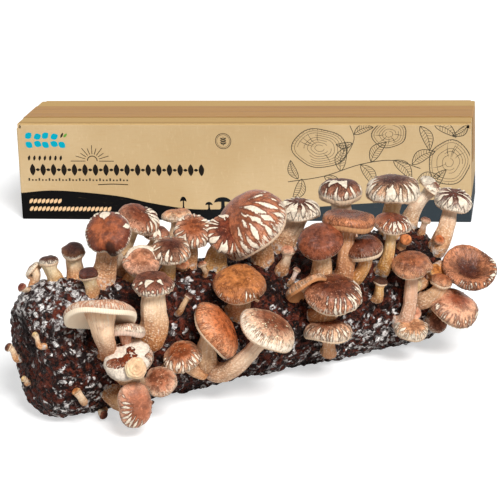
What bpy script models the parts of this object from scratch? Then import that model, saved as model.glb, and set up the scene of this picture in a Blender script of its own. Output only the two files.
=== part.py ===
"""Shiitake grow kit: a fruiting sawdust log and the taped carton it is sold in.

Metres, +Z up. The origin is the middle of the carton's underside and +X runs along the carton.
The log lies in front of the carton (-Y side), turned so that its near end points left and forward.
Directions on the log: "along" runs from its near end to its far end, "front" points level away
from the carton, square to the log, and "up" is +Z.
"""
import math

import bmesh
import bpy
from mathutils import Matrix, Vector
from mathutils.bvhtree import BVHTree

MM = 0.001
GAP = 0.3 * MM            # clearance left between pieces that touch

# Carton: one folded blank of single-wall board, its long top flaps meeting over the middle.
CARTON_LENGTH = 450 * MM
CARTON_DEPTH = 110 * MM
CARTON_HEIGHT = 98 * MM
BOARD = 2 * MM
FOLD_RADIUS = 1.2 * MM
FLAP_SEAM = 1.5 * MM      # open slot between the two top flaps
CORNER_RELIEF = 2.5 * MM  # square notch where a flap, a side and an end meet

# Packing tape over the seam, with a tail folded down each end.
TAPE_WIDTH = 50 * MM
TAPE_THICK = 0.3 * MM
TAPE_TAIL = 45 * MM

# Log: pressed sawdust block, slightly fatter at its near end, with crumbled round edges.
LOG_LENGTH = 342 * MM
LOG_NEAR_DIAMETER = 97 * MM
LOG_FAR_DIAMETER = 91 * MM
LOG_NEAR_EDGE = 18 * MM
LOG_FAR_EDGE = 9 * MM
LOG_LUMPS = 1.2 * MM
LOG_SIDES = 22
LOG_BANDS = 8
LOG_CENTRE = Vector((60 * MM, -492.5 * MM))
LOG_YAW = math.radians(36.4)
DRAWN_LENGTH = 338        # stations below are millimetres on a log of this length
DRAWN_DIAMETER = 97       # and places on its near end are millimetres on an end this wide

FOOT_RISE = 0.45 * MM     # keeps a foot's flat facets clear of the ridges between the log's facets
TRIM_GAP = 0.45 * MM      # clearance where two mushrooms press on each other

# Cap profiles, turned about the cap's axis: (radius, height) as shares of the cap's radius, from
# the gills at the stem, out over the inrolled margin and back to the crown.
CAP_FORMS = {
    "dome": ((0.55, -0.03), (0.88, -0.20), (1.00, -0.08), (0.93, 0.16), (0.68, 0.36), (0.34, 0.46), 0.49),
    "bell": ((0.60, -0.05), (0.90, -0.22), (1.00, -0.08), (0.93, 0.24), (0.70, 0.50), (0.36, 0.65), 0.69),
    "button": ((0.60, -0.24), (0.86, -0.40), (1.00, -0.16), (0.95, 0.18), (0.72, 0.44), (0.36, 0.56), 0.59),
    "cushion": ((0.50, -0.14), (0.86, -0.28), (1.00, -0.05), (0.94, 0.20), (0.68, 0.33), (0.33, 0.38), 0.38),
    "shell": ((0.42, 0.16), (0.80, -0.06), (0.97, -0.12), (1.00, 0.08), (0.80, 0.28), (0.40, 0.40), 0.42),
    "funnel": ((0.50, -0.36), (0.90, -0.12), (1.00, 0.02), (0.90, 0.13), (0.60, 0.03), (0.28, -0.14), -0.20),
    "pin": ((0.86, -0.30), (1.00, 0.00), (0.86, 0.42), (0.48, 0.68), 0.76),
}

LOG_ALONG = Vector((math.cos(LOG_YAW), math.sin(LOG_YAW), 0))
LOG_FRONT = Vector((math.sin(LOG_YAW), -math.cos(LOG_YAW), 0))
UP = Vector((0, 0, 1))


def clear_scene():
    for obj in list(bpy.data.objects):
        bpy.data.objects.remove(obj, do_unlink=True)


def material(name, colour, roughness):
    mat = bpy.data.materials.new(name)
    mat.use_nodes = True
    shader = mat.node_tree.nodes["Principled BSDF"]
    shader.inputs["Base Color"].default_value = (*colour, 1)
    shader.inputs["Roughness"].default_value = roughness
    shader.inputs["Metallic"].default_value = 0
    return mat


def object_from(name, bm, colour, roughness=0.8, smooth=True):
    bmesh.ops.recalc_face_normals(bm, faces=bm.faces)
    mesh = bpy.data.meshes.new(name)
    bm.to_mesh(mesh)
    bm.free()
    if smooth:
        mesh.shade_smooth()
        mesh.set_sharp_from_angle(angle=math.radians(50))
    mesh.materials.append(material(name + "_skin", colour, roughness))
    obj = bpy.data.objects.new(name, mesh)
    bpy.context.scene.collection.objects.link(obj)
    return obj


def loft(rings, start=None, end=None):
    """Closed skin over rings of equal count; an end is a point, or None for a flat face."""
    bm = bmesh.new()
    rows = [[bm.verts.new(p) for p in ring] for ring in rings]
    count = len(rows[0])
    for low, high in zip(rows, rows[1:]):
        for i in range(count):
            j = (i + 1) % count
            bm.faces.new((low[i], low[j], high[j], high[i]))
    for row, tip in ((rows[0][::-1], start), (rows[-1], end)):
        if tip is None:
            bm.faces.new(row)
        else:
            point = bm.verts.new(tip)
            for i in range(count):
                bm.faces.new((row[i], row[(i + 1) % count], point))
    return bm


def box(size, centre):
    bm = bmesh.new()
    bmesh.ops.create_cube(bm, size=1)
    bmesh.ops.scale(bm, vec=size, verts=bm.verts)
    bmesh.ops.translate(bm, vec=centre, verts=bm.verts)
    return bm


def cutter_from(name, bm):
    obj = object_from(name, bm, (0.5, 0.5, 0.5), smooth=False)
    obj.hide_render = True
    obj.display_type = "WIRE"
    return obj


def cut(obj, cutter):
    mod = obj.modifiers.new("cut_" + cutter.name, "BOOLEAN")
    mod.operation = "DIFFERENCE"
    mod.solver = "EXACT"
    mod.use_self = True
    mod.object = cutter


def settle(obj):
    """Replace an object's mesh by its evaluated one."""
    graph = bpy.context.evaluated_depsgraph_get()
    mesh = bpy.data.meshes.new_from_object(obj.evaluated_get(graph))
    obj.modifiers.clear()
    obj.data = mesh


def build_carton():
    middle = Vector((0, 0, CARTON_HEIGHT / 2))
    outer = box((CARTON_LENGTH, CARTON_DEPTH, CARTON_HEIGHT), middle)
    bmesh.ops.bevel(outer, geom=outer.edges[:], offset=FOLD_RADIUS, segments=2, profile=0.5,
                    affect="EDGES")
    carton = object_from("carton", outer, (0.66, 0.49, 0.26), 0.85)
    inner = box((CARTON_LENGTH - 2 * BOARD, CARTON_DEPTH - 2 * BOARD, CARTON_HEIGHT - 2 * BOARD), middle)
    cut(carton, cutter_from("carton_inside", inner))
    top = Vector((0, 0, CARTON_HEIGHT - BOARD / 2))
    seam = box((CARTON_LENGTH - 4 * BOARD, FLAP_SEAM, 2 * BOARD), top)
    cut(carton, cutter_from("flap_seam_slot", seam))
    for side in (-1, 1):
        for end in (-1, 1):
            corner = Vector((end * (CARTON_LENGTH / 2), side * (CARTON_DEPTH / 2), CARTON_HEIGHT))
            notch = box((2 * (BOARD + CORNER_RELIEF),) * 3, corner)
            cut(carton, cutter_from("corner_notch_%d_%d" % (side, end), notch))
    return carton


def build_tape():
    """A U of tape lofted across its width; its inner side stands one gap off the board."""
    half = CARTON_LENGTH / 2

    def outline(off):
        bend = FOLD_RADIUS + off
        side = []
        for step in range(4):
            turn = math.radians(90 * step / 3)
            side.append((half - FOLD_RADIUS + bend * math.sin(turn),
                         CARTON_HEIGHT - FOLD_RADIUS + bend * math.cos(turn)))
        side.append((half + off, CARTON_HEIGHT - TAPE_TAIL))
        return [(-x, z) for x, z in reversed(side)] + side

    loop = outline(GAP) + outline(GAP + TAPE_THICK)[::-1]
    rings = [[Vector((x, side * TAPE_WIDTH / 2, z)) for x, z in loop] for side in (-1, 1)]
    return object_from("sealing_tape", loft(rings), (0.45, 0.29, 0.13), 0.35, smooth=False)


def log_radius(station):
    """Radius of the log's wall at a distance from its near end."""
    share = min(max(station / LOG_LENGTH, 0), 1)
    return (LOG_NEAR_DIAMETER + (LOG_FAR_DIAMETER - LOG_NEAR_DIAMETER) * share) / 2


def edge_inset(station):
    """How far the rounded ends draw the wall in."""
    near = station < LOG_LENGTH / 2
    edge = LOG_NEAR_EDGE if near else LOG_FAR_EDGE
    into = edge - (station if near else LOG_LENGTH - station)
    if into <= 0:
        return 0.0
    return edge - math.sqrt(edge ** 2 - min(into, edge) ** 2)


def log_point(station, front, up):
    """A point by its station along the log, its offset to the front and its height over the axis."""
    centre = Vector((LOG_CENTRE.x, LOG_CENTRE.y, LOG_NEAR_DIAMETER / 2))
    return centre + LOG_ALONG * (station - LOG_LENGTH / 2) + LOG_FRONT * front + UP * up


def log_bm(grow):
    """The log's skin, grown outwards by a clearance."""
    bend = [1 - math.cos(math.radians(angle)) for angle in (15, 40, 65, 90)]
    straight = LOG_LENGTH - LOG_NEAR_EDGE - LOG_FAR_EDGE
    profile = [LOG_NEAR_EDGE * share for share in bend]
    profile += [LOG_NEAR_EDGE + straight * i / LOG_BANDS for i in range(1, LOG_BANDS)]
    profile += [LOG_LENGTH - LOG_FAR_EDGE * share for share in reversed(bend)]
    drop = (LOG_NEAR_DIAMETER - LOG_FAR_DIAMETER) / 2
    rings = []
    for station in profile:
        ring = []
        sink = drop * station / LOG_LENGTH
        for k in range(LOG_SIDES):
            turn = 2 * math.pi * k / LOG_SIDES
            lump = (math.sin(3 * turn + 41 * station) + math.sin(5 * turn - 87 * station + 1)
                    + math.sin(2 * turn + 133 * station + 2)) / 3
            low = min(1.0, 3 * max(0.0, -math.cos(turn)) ** 4)
            radius = log_radius(station) - edge_inset(station) + LOG_LUMPS * lump * (1 - low) + grow
            along = station - LOG_LENGTH / 2
            along *= 1 + 2 * grow / LOG_LENGTH
            ring.append(log_point(along + LOG_LENGTH / 2, radius * math.sin(turn),
                                  radius * math.cos(turn) - sink))
        rings.append(ring)
    near = log_point(-grow, 0, 0)
    far = log_point(LOG_LENGTH + grow, 0, -drop)
    return loft(rings, near, far)


def on_wall(station, clock):
    """Foot on the log's wall: station in drawn millimetres, clock in degrees from the top to the front."""
    s = station / DRAWN_LENGTH * LOG_LENGTH
    turn = math.radians(clock)
    radius = log_radius(s) - edge_inset(s)
    sink = (LOG_NEAR_DIAMETER - LOG_FAR_DIAMETER) / 2 * s / LOG_LENGTH
    point = log_point(s, radius * math.sin(turn), radius * math.cos(turn) - sink)
    return point, LOG_FRONT * math.sin(turn) + UP * math.cos(turn)


def on_near_end(front, up):
    """Foot on the log's near end, in drawn millimetres from the log's axis."""
    share = LOG_NEAR_DIAMETER / DRAWN_DIAMETER
    return log_point(0, front * share, up * share), -LOG_ALONG


def lean_axis(lean, heading):
    """Unit vector leaning from upright; heading 0 is the log's near end, 90 the front, 180 the far end."""
    tip, turn = math.radians(lean), math.radians(heading)
    level = -LOG_ALONG * math.cos(turn) + LOG_FRONT * math.sin(turn)
    return UP * math.cos(tip) + level * math.sin(tip)


def landed(points, wall):
    """Points of a stem's foot brought onto the skin that stands just off the log."""
    return [wall.find_nearest(point)[0] for point in points]


def bezier(points, t):
    a, b, c, d = points
    return a * (1 - t) ** 3 + b * 3 * t * (1 - t) ** 2 + c * 3 * t * t * (1 - t) + d * t ** 3


def build_mushroom(wall, name, form, foot, reach, width, lean, heading, stem, colour, shape=None):
    """One mushroom: a stem swept along a curve from the log's wall into the turned cap.

    reach places the cap's middle from the foot (along, front, up) and width is the cap's, both in
    millimetres. shape varies the rim: a function of the angle round the cap.
    """
    point, outward = foot
    along, front, up = (v * MM for v in reach)
    middle = point + LOG_ALONG * along + LOG_FRONT * front + UP * up
    axis = lean_axis(lean, heading)
    radius = width * MM / 2
    *profile, crown = CAP_FORMS[form]
    sides = 6 if width < 12 else 7 if width < 25 else 8 if width < 40 else 10
    neck = middle + axis * radius * (profile[0][1] - 0.02)
    span = (neck - point).length
    path = (point, point + outward * span * 0.38, neck - axis * span * 0.42, neck)

    across = axis.cross(UP)
    if across.length < 0.05:
        across = LOG_ALONG.copy()
    across.normalize()
    side, uphill = across, across.cross(axis)
    levels = (1.0, 0.62, 0.3, 0.0) if width >= 25 else (1.0, 0.45, 0.0)
    stem_rings = []
    tangent = axis
    for t in levels:
        here = bezier(path, t)
        step = (bezier(path, min(t + 0.02, 1)) - bezier(path, max(t - 0.02, 0))).normalized()
        turn = tangent.rotation_difference(step).to_matrix()
        side, uphill, tangent = turn @ side, turn @ uphill, step
        thick = stem * MM / 2 * (1.0 + 0.22 * (1 - t) ** 2 + (0.10 if t == 1.0 else 0))
        stem_rings.append([here + (side * math.cos(a) + uphill * math.sin(a)) * thick
                           for a in (2 * math.pi * k / sides for k in range(sides))])
    stem_rings[-1] = landed(stem_rings[-1], wall)
    sole = landed([point], wall)[0]
    side, uphill = across, across.cross(axis)
    cap_rings = []
    for r, h in profile:
        ring = []
        for k in range(sides):
            a = 2 * math.pi * k / sides
            stretch = shape(a) if shape else 1.0
            wave = 1 + 0.03 * math.sin(2 * a + station_phase(point))
            reach_out = radius * (stem * MM / 2 / radius + (r - stem * MM / 2 / radius) * stretch * wave)
            ring.append(middle + (side * math.cos(a) + uphill * math.sin(a)) * reach_out
                        + axis * radius * h)
        cap_rings.append(ring)
    bm = loft(stem_rings[::-1] + cap_rings, sole, middle + axis * radius * crown)
    return object_from(name, bm, colour)


def station_phase(point):
    return (point - log_point(0, 0, 0)).dot(LOG_ALONG) * 90


def notched(at, depth, spread=0.5):
    """Rim drawn in at one angle (degrees), as where a cap folds round its neighbour."""
    def rim(a):
        away = (a - math.radians(at) + math.pi) % (2 * math.pi) - math.pi
        return 1 - depth * math.exp(-(away / spread) ** 2)
    return rim


def twinned(at, waist):
    """Two caps grown into one: long in the direction at (degrees), with a waist between the lobes."""
    def rim(a):
        away = a - math.radians(at)
        return 1 - (1 - waist) * math.sin(away) ** 2 + 0.12 * math.cos(4 * away) * waist
    return rim


RED_BROWN = (0.25, 0.09, 0.045)
ORANGE_BROWN = (0.42, 0.17, 0.06)
DARK_BROWN = (0.08, 0.03, 0.02)
PALE = (0.62, 0.42, 0.28)

# name, cap form, foot, cap middle from the foot (along, front, up), cap width, lean, heading, stem, colour
MUSHROOMS = (
    # near end and crest
    ("shiitake_01", "dome", on_wall(17, -25), (1, -1, 13), 15, 55, 305, 7, PALE),
    ("shiitake_02", "button", on_wall(31, -12), (-5, -1, 18), 14, 8, 270, 11, DARK_BROWN),
    ("shiitake_03", "button", on_wall(45, -8), (-2, 2, 24), 17, 18, 70, 12, DARK_BROWN),
    ("shiitake_04", "button", on_wall(45, 25), (-3, 3, 18), 14, 9, 40, 10, DARK_BROWN),
    ("shiitake_05", "dome", on_wall(60, 9), (-1, 16, 42), 34, 53, 52, 13, RED_BROWN, notched(265, 0.22)),
    ("shiitake_06", "dome", on_wall(77, 6), (-3, -8, 25), 16, 33, 273, 8, PALE),
    ("shiitake_07", "dome", on_wall(85, -12), (9, 9, 42), 32, 30, 118, 9, RED_BROWN),
    ("shiitake_08", "dome", on_wall(97, -5), (9, 8, 30), 20, 11, 108, 8, RED_BROWN),
    ("shiitake_09", "dome", on_wall(106, 21), (-1, 12, 26), 29, 25, 73, 11, RED_BROWN),
    ("shiitake_10", "cushion", on_wall(78, 16), (5, 13, 19), 27, 40, 66, 8, PALE),
    # front of the near half
    ("shiitake_11", "dome", on_wall(75, 75), (1, 13, 45), 29, 14, 69, 17, RED_BROWN),
    ("shiitake_12", "shell", on_wall(41, 78), (-10, 20, 33), 51, 34, 244, 13, PALE),
    ("shiitake_13", "cushion", on_wall(57, 79), (-6, 18, 20), 28, 17, 226, 8, PALE),
    ("shiitake_14", "dome", on_wall(53, 100), (-4, 24, 17), 35, 24, 37, 12, RED_BROWN),
    ("shiitake_15", "button", on_wall(62, 107), (-16, 44, 23), 15, 65, 69, 9, PALE),
    ("shiitake_16", "dome", on_wall(117, 113), (-20, 13, 17), 29, 28, 50, 10, RED_BROWN),
    ("shiitake_17", "dome", on_wall(89, 103), (-13, 17, -4), 24, 43, 55, 9, RED_BROWN),
    ("shiitake_18", "dome", on_wall(47, 120), (0, 41, 3), 33, 82, 89, 13, RED_BROWN, twinned(90, 0.70)),
    ("shiitake_19", "dome", on_wall(119, 107), (3, 19, 30), 44, 58, 140, 13, ORANGE_BROWN),
    ("shiitake_20", "dome", on_wall(126, 114), (29, 38, 34), 44, 34, 131, 13, ORANGE_BROWN),
    ("shiitake_21", "dome", on_wall(149, 66), (-3, 13, 26), 39, 25, 66, 14, ORANGE_BROWN),
    # crest of the middle
    ("shiitake_22", "dome", on_wall(149, 14), (3, 15, 29), 31, 48, 84, 13, RED_BROWN),
    ("shiitake_23", "dome", on_wall(131, 6), (-1, 10, 31), 28, 43, 68, 9, ORANGE_BROWN),
    ("shiitake_24", "dome", on_wall(123, -25), (11, 0, 38), 23, 6, 283, 8, RED_BROWN),
    ("shiitake_25", "bell", on_wall(187, 17), (-13, 9, 33), 58, 41, 8, 14, RED_BROWN),
    ("shiitake_26", "dome", on_wall(214, 0), (9, 9, 32), 32, 10, 76, 15, PALE),
    ("shiitake_27", "dome", on_wall(220, 54), (-3, 13, 38), 34, 37, 55, 13, RED_BROWN),
    ("shiitake_28", "cushion", on_wall(240, 54), (5, 8, 48), 39, 5, 172, 12, ORANGE_BROWN),
    ("shiitake_29", "button", on_wall(250, 58), (4, 14, 30), 27, 17, 27, 11, DARK_BROWN),
    ("shiitake_30", "dome", on_wall(278, 53), (5, 9, 39), 29, 11, 108, 9, RED_BROWN),
    ("shiitake_31", "button", on_wall(268, 1), (-1, -5, 38), 33, 2, 122, 15, RED_BROWN),
    ("shiitake_32", "dome", on_wall(304, 8), (-3, 12, 40), 42, 8, 76, 14, RED_BROWN),
    # far end
    ("shiitake_33", "dome", on_wall(327, -1), (18, 6, 31), 25, 47, 160, 11, PALE),
    ("shiitake_34", "dome", on_wall(333, 40), (18, -2, 37), 30, 20, 91, 12, PALE),
    ("shiitake_35", "funnel", on_wall(327, 63), (17, 18, 4), 44, 31, 76, 12, ORANGE_BROWN),
    ("shiitake_36", "dome", on_wall(287, 106), (6, 13, 48), 31, 20, 59, 10, RED_BROWN),
    ("shiitake_37", "button", on_wall(306, 88), (12, 14, 17), 17, 14, 144, 11, RED_BROWN),
    ("shiitake_38", "dome", on_wall(322, 101), (5, 19, 6), 39, 30, 99, 11, ORANGE_BROWN),
    ("shiitake_39", "cushion", on_wall(298, 115), (-7, 17, 4), 26, 25, 85, 8, PALE),
    ("shiitake_40", "button", on_wall(318, 110), (-1, 12, 0), 17, 63, 76, 8, DARK_BROWN),
    # front of the far half
    ("shiitake_41", "dome", on_wall(216, 85), (4, 17, 22), 43, 21, 75, 16, RED_BROWN),
    ("shiitake_42", "dome", on_wall(226, 122), (-10, 22, 21), 36, 3, 199, 9, ORANGE_BROWN),
    ("shiitake_43", "shell", on_wall(224, 75), (-20, 7, 18), 33, 42, 281, 9, ORANGE_BROWN),
    # young pins
    ("pin_01", "pin", on_wall(9, -8), (-8, 4, 6), 7, 39, 12, 4, RED_BROWN),
    ("pin_02", "pin", on_near_end(-17, -7), (-6, -3, 9), 7, 53, 343, 5, DARK_BROWN),
    ("pin_03", "pin", on_wall(25, 123), (-8, 9, 11), 6.5, 37, 350, 5, ORANGE_BROWN),
    ("pin_04", "pin", on_wall(48, 150), (-6, 12, -1), 7, 100, 105, 5, DARK_BROWN),
    ("pin_05", "pin", on_wall(103, 58), (5, 9, 15), 6, 33, 156, 4, RED_BROWN),
    ("pin_06", "pin", on_wall(137, 23), (-3, 2, 9), 7, 17, 320, 4, RED_BROWN),
    ("pin_07", "pin", on_wall(197, 34), (3, 5, 16), 11, 8, 144, 8, ORANGE_BROWN),
    ("pin_08", "pin", on_wall(199, 49), (4, 4, 11), 6, 28, 172, 4, RED_BROWN),
    ("pin_09", "pin", on_wall(268, 78), (0, 7, 15), 11, 14, 144, 8, DARK_BROWN),
    ("pin_10", "pin", on_wall(305, 30), (0, 6, 7), 10, 51, 78, 7, ORANGE_BROWN),
    ("pin_11", "pin", on_wall(329, 18), (2, 3, 12), 8, 20, 146, 5, RED_BROWN),
    ("pin_12", "pin", on_wall(332, 44), (-1, 5, 12), 9, 50, 71, 7, ORANGE_BROWN),
)


def grown_copy(obj, amount):
    """A cutter: the object's mesh pushed out along its vertex normals."""
    bm = bmesh.new()
    bm.from_mesh(obj.data)
    bm.normal_update()
    shifts = [v.normal * amount for v in bm.verts]
    for v, shift in zip(bm.verts, shifts):
        v.co += shift
    return cutter_from(obj.name + "_clearance", bm)


def tree_of(obj):
    bm = bmesh.new()
    bm.from_mesh(obj.data)
    tree = BVHTree.FromBMesh(bm)
    bm.free()
    return tree


def keep_largest(obj):
    """Drop the loose crumbs a trim can leave, and merge its slivers."""
    bm = bmesh.new()
    bm.from_mesh(obj.data)
    bmesh.ops.remove_doubles(bm, verts=bm.verts, dist=0.000002)
    seen, groups = set(), []
    for face in bm.faces:
        if face in seen:
            continue
        group, todo = [], [face]
        seen.add(face)
        while todo:
            here = todo.pop()
            group.append(here)
            for edge in here.edges:
                for other in edge.link_faces:
                    if other not in seen:
                        seen.add(other)
                        todo.append(other)
        groups.append(group)
    groups.sort(key=lambda g: sum(f.calc_area() for f in g))
    for group in groups[:-1]:
        bmesh.ops.delete(bm, geom=group, context="FACES")
    bm.to_mesh(obj.data)
    bm.free()


def trim_to_neighbours(pieces):
    """Where two mushrooms would share space, the later one is pressed in by the earlier one."""
    for i, late in enumerate(pieces):
        for early in pieces[:i]:
            clearance = grown_copy(early, TRIM_GAP)
            if tree_of(late).overlap(tree_of(clearance)):
                cut(late, clearance)
                settle(late)
                keep_largest(late)
            bpy.data.objects.remove(clearance, do_unlink=True)


def build_log_and_mushrooms():
    log = object_from("substrate_log", log_bm(0), (0.035, 0.018, 0.013), 0.95)
    clearance = cutter_from("log_clearance", log_bm(GAP))
    skin = object_from("foot_guide", log_bm(GAP + FOOT_RISE), (0.5, 0.5, 0.5))
    wall = tree_of(skin)
    bpy.data.objects.remove(skin, do_unlink=True)
    solid = tree_of(log)
    pieces = []
    for row in MUSHROOMS:
        piece = build_mushroom(wall, *row)
        if tree_of(piece).overlap(solid):
            cut(piece, clearance)
            settle(piece)
            keep_largest(piece)
        pieces.append(piece)
    trim_to_neighbours(pieces)


def build():
    clear_scene()
    build_carton()
    build_tape()
    build_log_and_mushrooms()


build()
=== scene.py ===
"""Shiitake grow kit, dressed: the fruiting sawdust log and its printed kraft carton, on a white floor.

Metres, +Z up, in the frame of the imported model. Sizes and places of the log and the mushrooms repeat
the part's own named values. Colours are as seen on a screen, written as 0xRRGGBB.
"""
import math
import random

import bmesh
import bpy
import numpy as np
from mathutils import Matrix, Vector
from mathutils.geometry import delaunay_2d_cdt


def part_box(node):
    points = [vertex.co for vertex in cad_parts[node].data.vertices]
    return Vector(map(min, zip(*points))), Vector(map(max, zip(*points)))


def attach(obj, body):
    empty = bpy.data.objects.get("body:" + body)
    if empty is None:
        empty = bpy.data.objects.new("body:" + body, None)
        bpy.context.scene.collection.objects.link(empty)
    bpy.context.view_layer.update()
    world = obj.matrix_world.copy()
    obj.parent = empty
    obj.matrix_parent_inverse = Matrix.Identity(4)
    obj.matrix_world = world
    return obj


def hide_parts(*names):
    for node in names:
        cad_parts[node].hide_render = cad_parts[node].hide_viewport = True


MM = 0.001
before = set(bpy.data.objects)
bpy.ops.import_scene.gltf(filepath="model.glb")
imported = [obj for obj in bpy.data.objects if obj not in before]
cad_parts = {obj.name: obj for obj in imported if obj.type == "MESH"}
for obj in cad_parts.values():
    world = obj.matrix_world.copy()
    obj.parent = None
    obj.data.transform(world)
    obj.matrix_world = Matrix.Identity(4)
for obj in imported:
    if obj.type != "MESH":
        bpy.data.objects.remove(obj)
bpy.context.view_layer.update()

# The camera: where it stands, how far it is turned, tipped down and rolled, and its lens in millimetres.
CAMERA_PLACE = Vector((0.2936, -1.9023, 0.5218))
CAMERA_TURN, CAMERA_PITCH, CAMERA_ROLL = math.radians(8.85), math.radians(16.45), math.radians(-1.97)
CAMERA_LENS = 141

# Light: the even light of the surroundings, and each lamp's strength, angle in degrees and direction.
FILL_STRENGTH = 0.12
LAMPS = (("key_lamp", 3.8, 20, (-0.54, 0.92, -0.96)), ("fill_lamp", 0.42, 60, (0.8, 0.5, -0.8)))

# The floor's paper: its grey in the light that it throws back, its grey to the camera, and its glow there.
PAPER, SEEN_PAPER, PAPER_GLOW = 0.75, 0.60, 0.56

# Log and carton sizes, as in the part.
LOG_LENGTH = 342 * MM
LOG_NEAR_DIAMETER = 97 * MM
LOG_FAR_DIAMETER = 91 * MM
LOG_NEAR_EDGE = 18 * MM
LOG_FAR_EDGE = 9 * MM
LOG_CENTRE = Vector((60 * MM, -492.5 * MM))
LOG_YAW = math.radians(36.4)
DRAWN_LENGTH = 338
DRAWN_DIAMETER = 97

# The log's relief: how many millimetres its skin is set back, and the share of the drawn relief it takes.
LOG_SET_BACK, LOG_RELIEF = 0.2, 0.8
CARTON_LOW, CARTON_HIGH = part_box("carton")
BOARD = 2 * MM
FOLD_RADIUS = 1.2 * MM
CORNER_RELIEF = 2.5 * MM

# The crease behind the edge of the carton's top flap, and the pitch of its board's flutes.
FLAP_CREASE = 8 * MM
FLUTE_PITCH = 7 * MM

# Height in millimetres of the printed wave band at the carton's left and right end.
BAND_LEFT, BAND_RIGHT = 27.5, 25

LOG_ALONG = Vector((math.cos(LOG_YAW), math.sin(LOG_YAW), 0))
LOG_FRONT = Vector((math.sin(LOG_YAW), -math.cos(LOG_YAW), 0))
UP = Vector((0, 0, 1))


def linear(screen):
    """A screen colour as the linear colour that a shader takes."""
    parts = [(screen >> shift & 255) / 255 for shift in (16, 8, 0)]
    return tuple(c / 12.92 if c <= 0.04045 else ((c + 0.055) / 1.055) ** 2.4 for c in parts)


def shade(colour, by):
    """A linear colour made darker or lighter, by one factor or by one for each channel."""
    return tuple(min(1, c * f) for c, f in zip(colour, by if isinstance(by, tuple) else (by, by, by)))


def add_object(name, data):
    obj = bpy.data.objects.new(name, data)
    bpy.context.scene.collection.objects.link(obj)
    return obj


def make_camera():
    data = bpy.data.cameras.new("camera")
    data.sensor_width = 36
    data.lens = CAMERA_LENS
    data.clip_start, data.clip_end = 0.05, 50
    cam = add_object("camera", data)
    level_step = math.cos(CAMERA_PITCH)
    forward = Vector((-math.sin(CAMERA_TURN) * level_step, math.cos(CAMERA_TURN) * level_step,
                      -math.sin(CAMERA_PITCH)))
    right = Vector((math.cos(CAMERA_TURN), math.sin(CAMERA_TURN), 0))
    top = right.cross(forward)
    level = right * math.cos(CAMERA_ROLL) + top * math.sin(CAMERA_ROLL)
    upright = top * math.cos(CAMERA_ROLL) - right * math.sin(CAMERA_ROLL)
    turn = Matrix((level, upright, -forward)).transposed()
    cam.matrix_world = Matrix.Translation(CAMERA_PLACE) @ turn.to_4x4()
    bpy.context.scene.camera = cam


class Value:
    """A node's output, which adds, subtracts and multiplies as in a formula."""

    def __init__(self, nodes, socket):
        self.nodes = nodes
        self.socket = socket

    def __add__(self, other):
        return self.nodes.math("ADD", self, other)

    def __sub__(self, other):
        return self.nodes.math("SUBTRACT", self, other)

    def __mul__(self, other):
        return self.nodes.math("MULTIPLY", self, other)


class Nodes:
    """Short calls for building a node tree."""

    def __init__(self, owner):
        owner.use_nodes = True
        self.owner = owner
        self.tree = owner.node_tree

    def plug(self, value, socket):
        if isinstance(value, Value):
            self.tree.links.new(value.socket, socket)
        elif socket.type == "RGBA":
            socket.default_value = (*value, 1)
        else:
            socket.default_value = value

    def add(self, kind, inputs, output=0, **settings):
        """A new node with its inputs plugged in, by name or by number; gives back one of its outputs."""
        node = self.tree.nodes.new(kind)
        for key, value in settings.items():
            setattr(node, key, value)
        for key, value in inputs.items():
            self.plug(value, node.inputs[key])
        return Value(self, node.outputs[output]) if node.outputs else None

    def math(self, operation, a, b=0.0):
        return self.add("ShaderNodeMath", {0: a, 1: b}, operation=operation)

    def ray(self, kind):
        return self.add("ShaderNodeLightPath", {}, kind)

    def blend(self, share, a, b):
        """Two shaders mixed."""
        return self.add("ShaderNodeMixShader", {0: share, 1: a, 2: b})


class Finish(Nodes):
    """A material whose colour is laid on in coats."""

    def __init__(self, name):
        super().__init__(bpy.data.materials.new(name))
        self.shader = self.tree.nodes["Principled BSDF"]
        self.place = self.add("ShaderNodeTexCoord", {}, "Object")
        self.colour = None

    def value(self, name):
        """A number that the mesh carries at each point."""
        return self.add("ShaderNodeAttribute", {}, "Fac", attribute_name=name)

    def axis(self, number):
        """The place along one axis of the scene."""
        return self.add("ShaderNodeSeparateXYZ", {0: self.place}, number)

    def vector(self, x, y, z):
        return self.add("ShaderNodeCombineXYZ", {0: x, 1: y, 2: z})

    def stretched(self, scale):
        return self.add("ShaderNodeMapping", {"Vector": self.place, "Scale": scale})

    def steps(self, value, low, high):
        """0 at low, 1 at high, smooth between."""
        return self.add("ShaderNodeMapRange", {"Value": value, "From Min": low, "From Max": high},
                        interpolation_type="SMOOTHSTEP")

    def mix(self, share, a, b):
        return self.add("ShaderNodeMix", {0: share, 6: a, 7: b}, 2, data_type="RGBA")

    def coat(self, share, tone):
        self.colour = self.mix(share, self.colour, tone)

    def noise(self, scale, detail, roughness=0.55, distortion=0.0, place=None, output="Fac"):
        return self.add("ShaderNodeTexNoise", {
            "Vector": place or self.place, "Scale": scale, "Detail": detail, "Roughness": roughness,
            "Distortion": distortion}, output)

    def cells(self, scale, place=None, output="Distance"):
        return self.add("ShaderNodeTexVoronoi", {"Vector": place or self.place, "Scale": scale}, output)

    def done(self, roughness, height, depth, strength, specular):
        """The material, with its colour, its roughness and a bump of the given height on its shader."""
        normal = self.add("ShaderNodeBump", {"Height": height, "Distance": depth, "Strength": strength})
        for key, value in (("Base Color", self.colour), ("Roughness", roughness), ("Normal", normal),
                           ("Specular IOR Level", specular)):
            self.plug(value, self.shader.inputs[key])
        return self.owner


def grid_faces(rows, count, start=0):
    """Faces of a grid of points, closed round its columns."""
    faces = []
    for i in range(start, start + (rows - 1) * count, count):
        for j in range(count):
            after = (j + 1) % count
            faces.append((i + j, i + after, i + count + after, i + count + j))
    return faces


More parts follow.
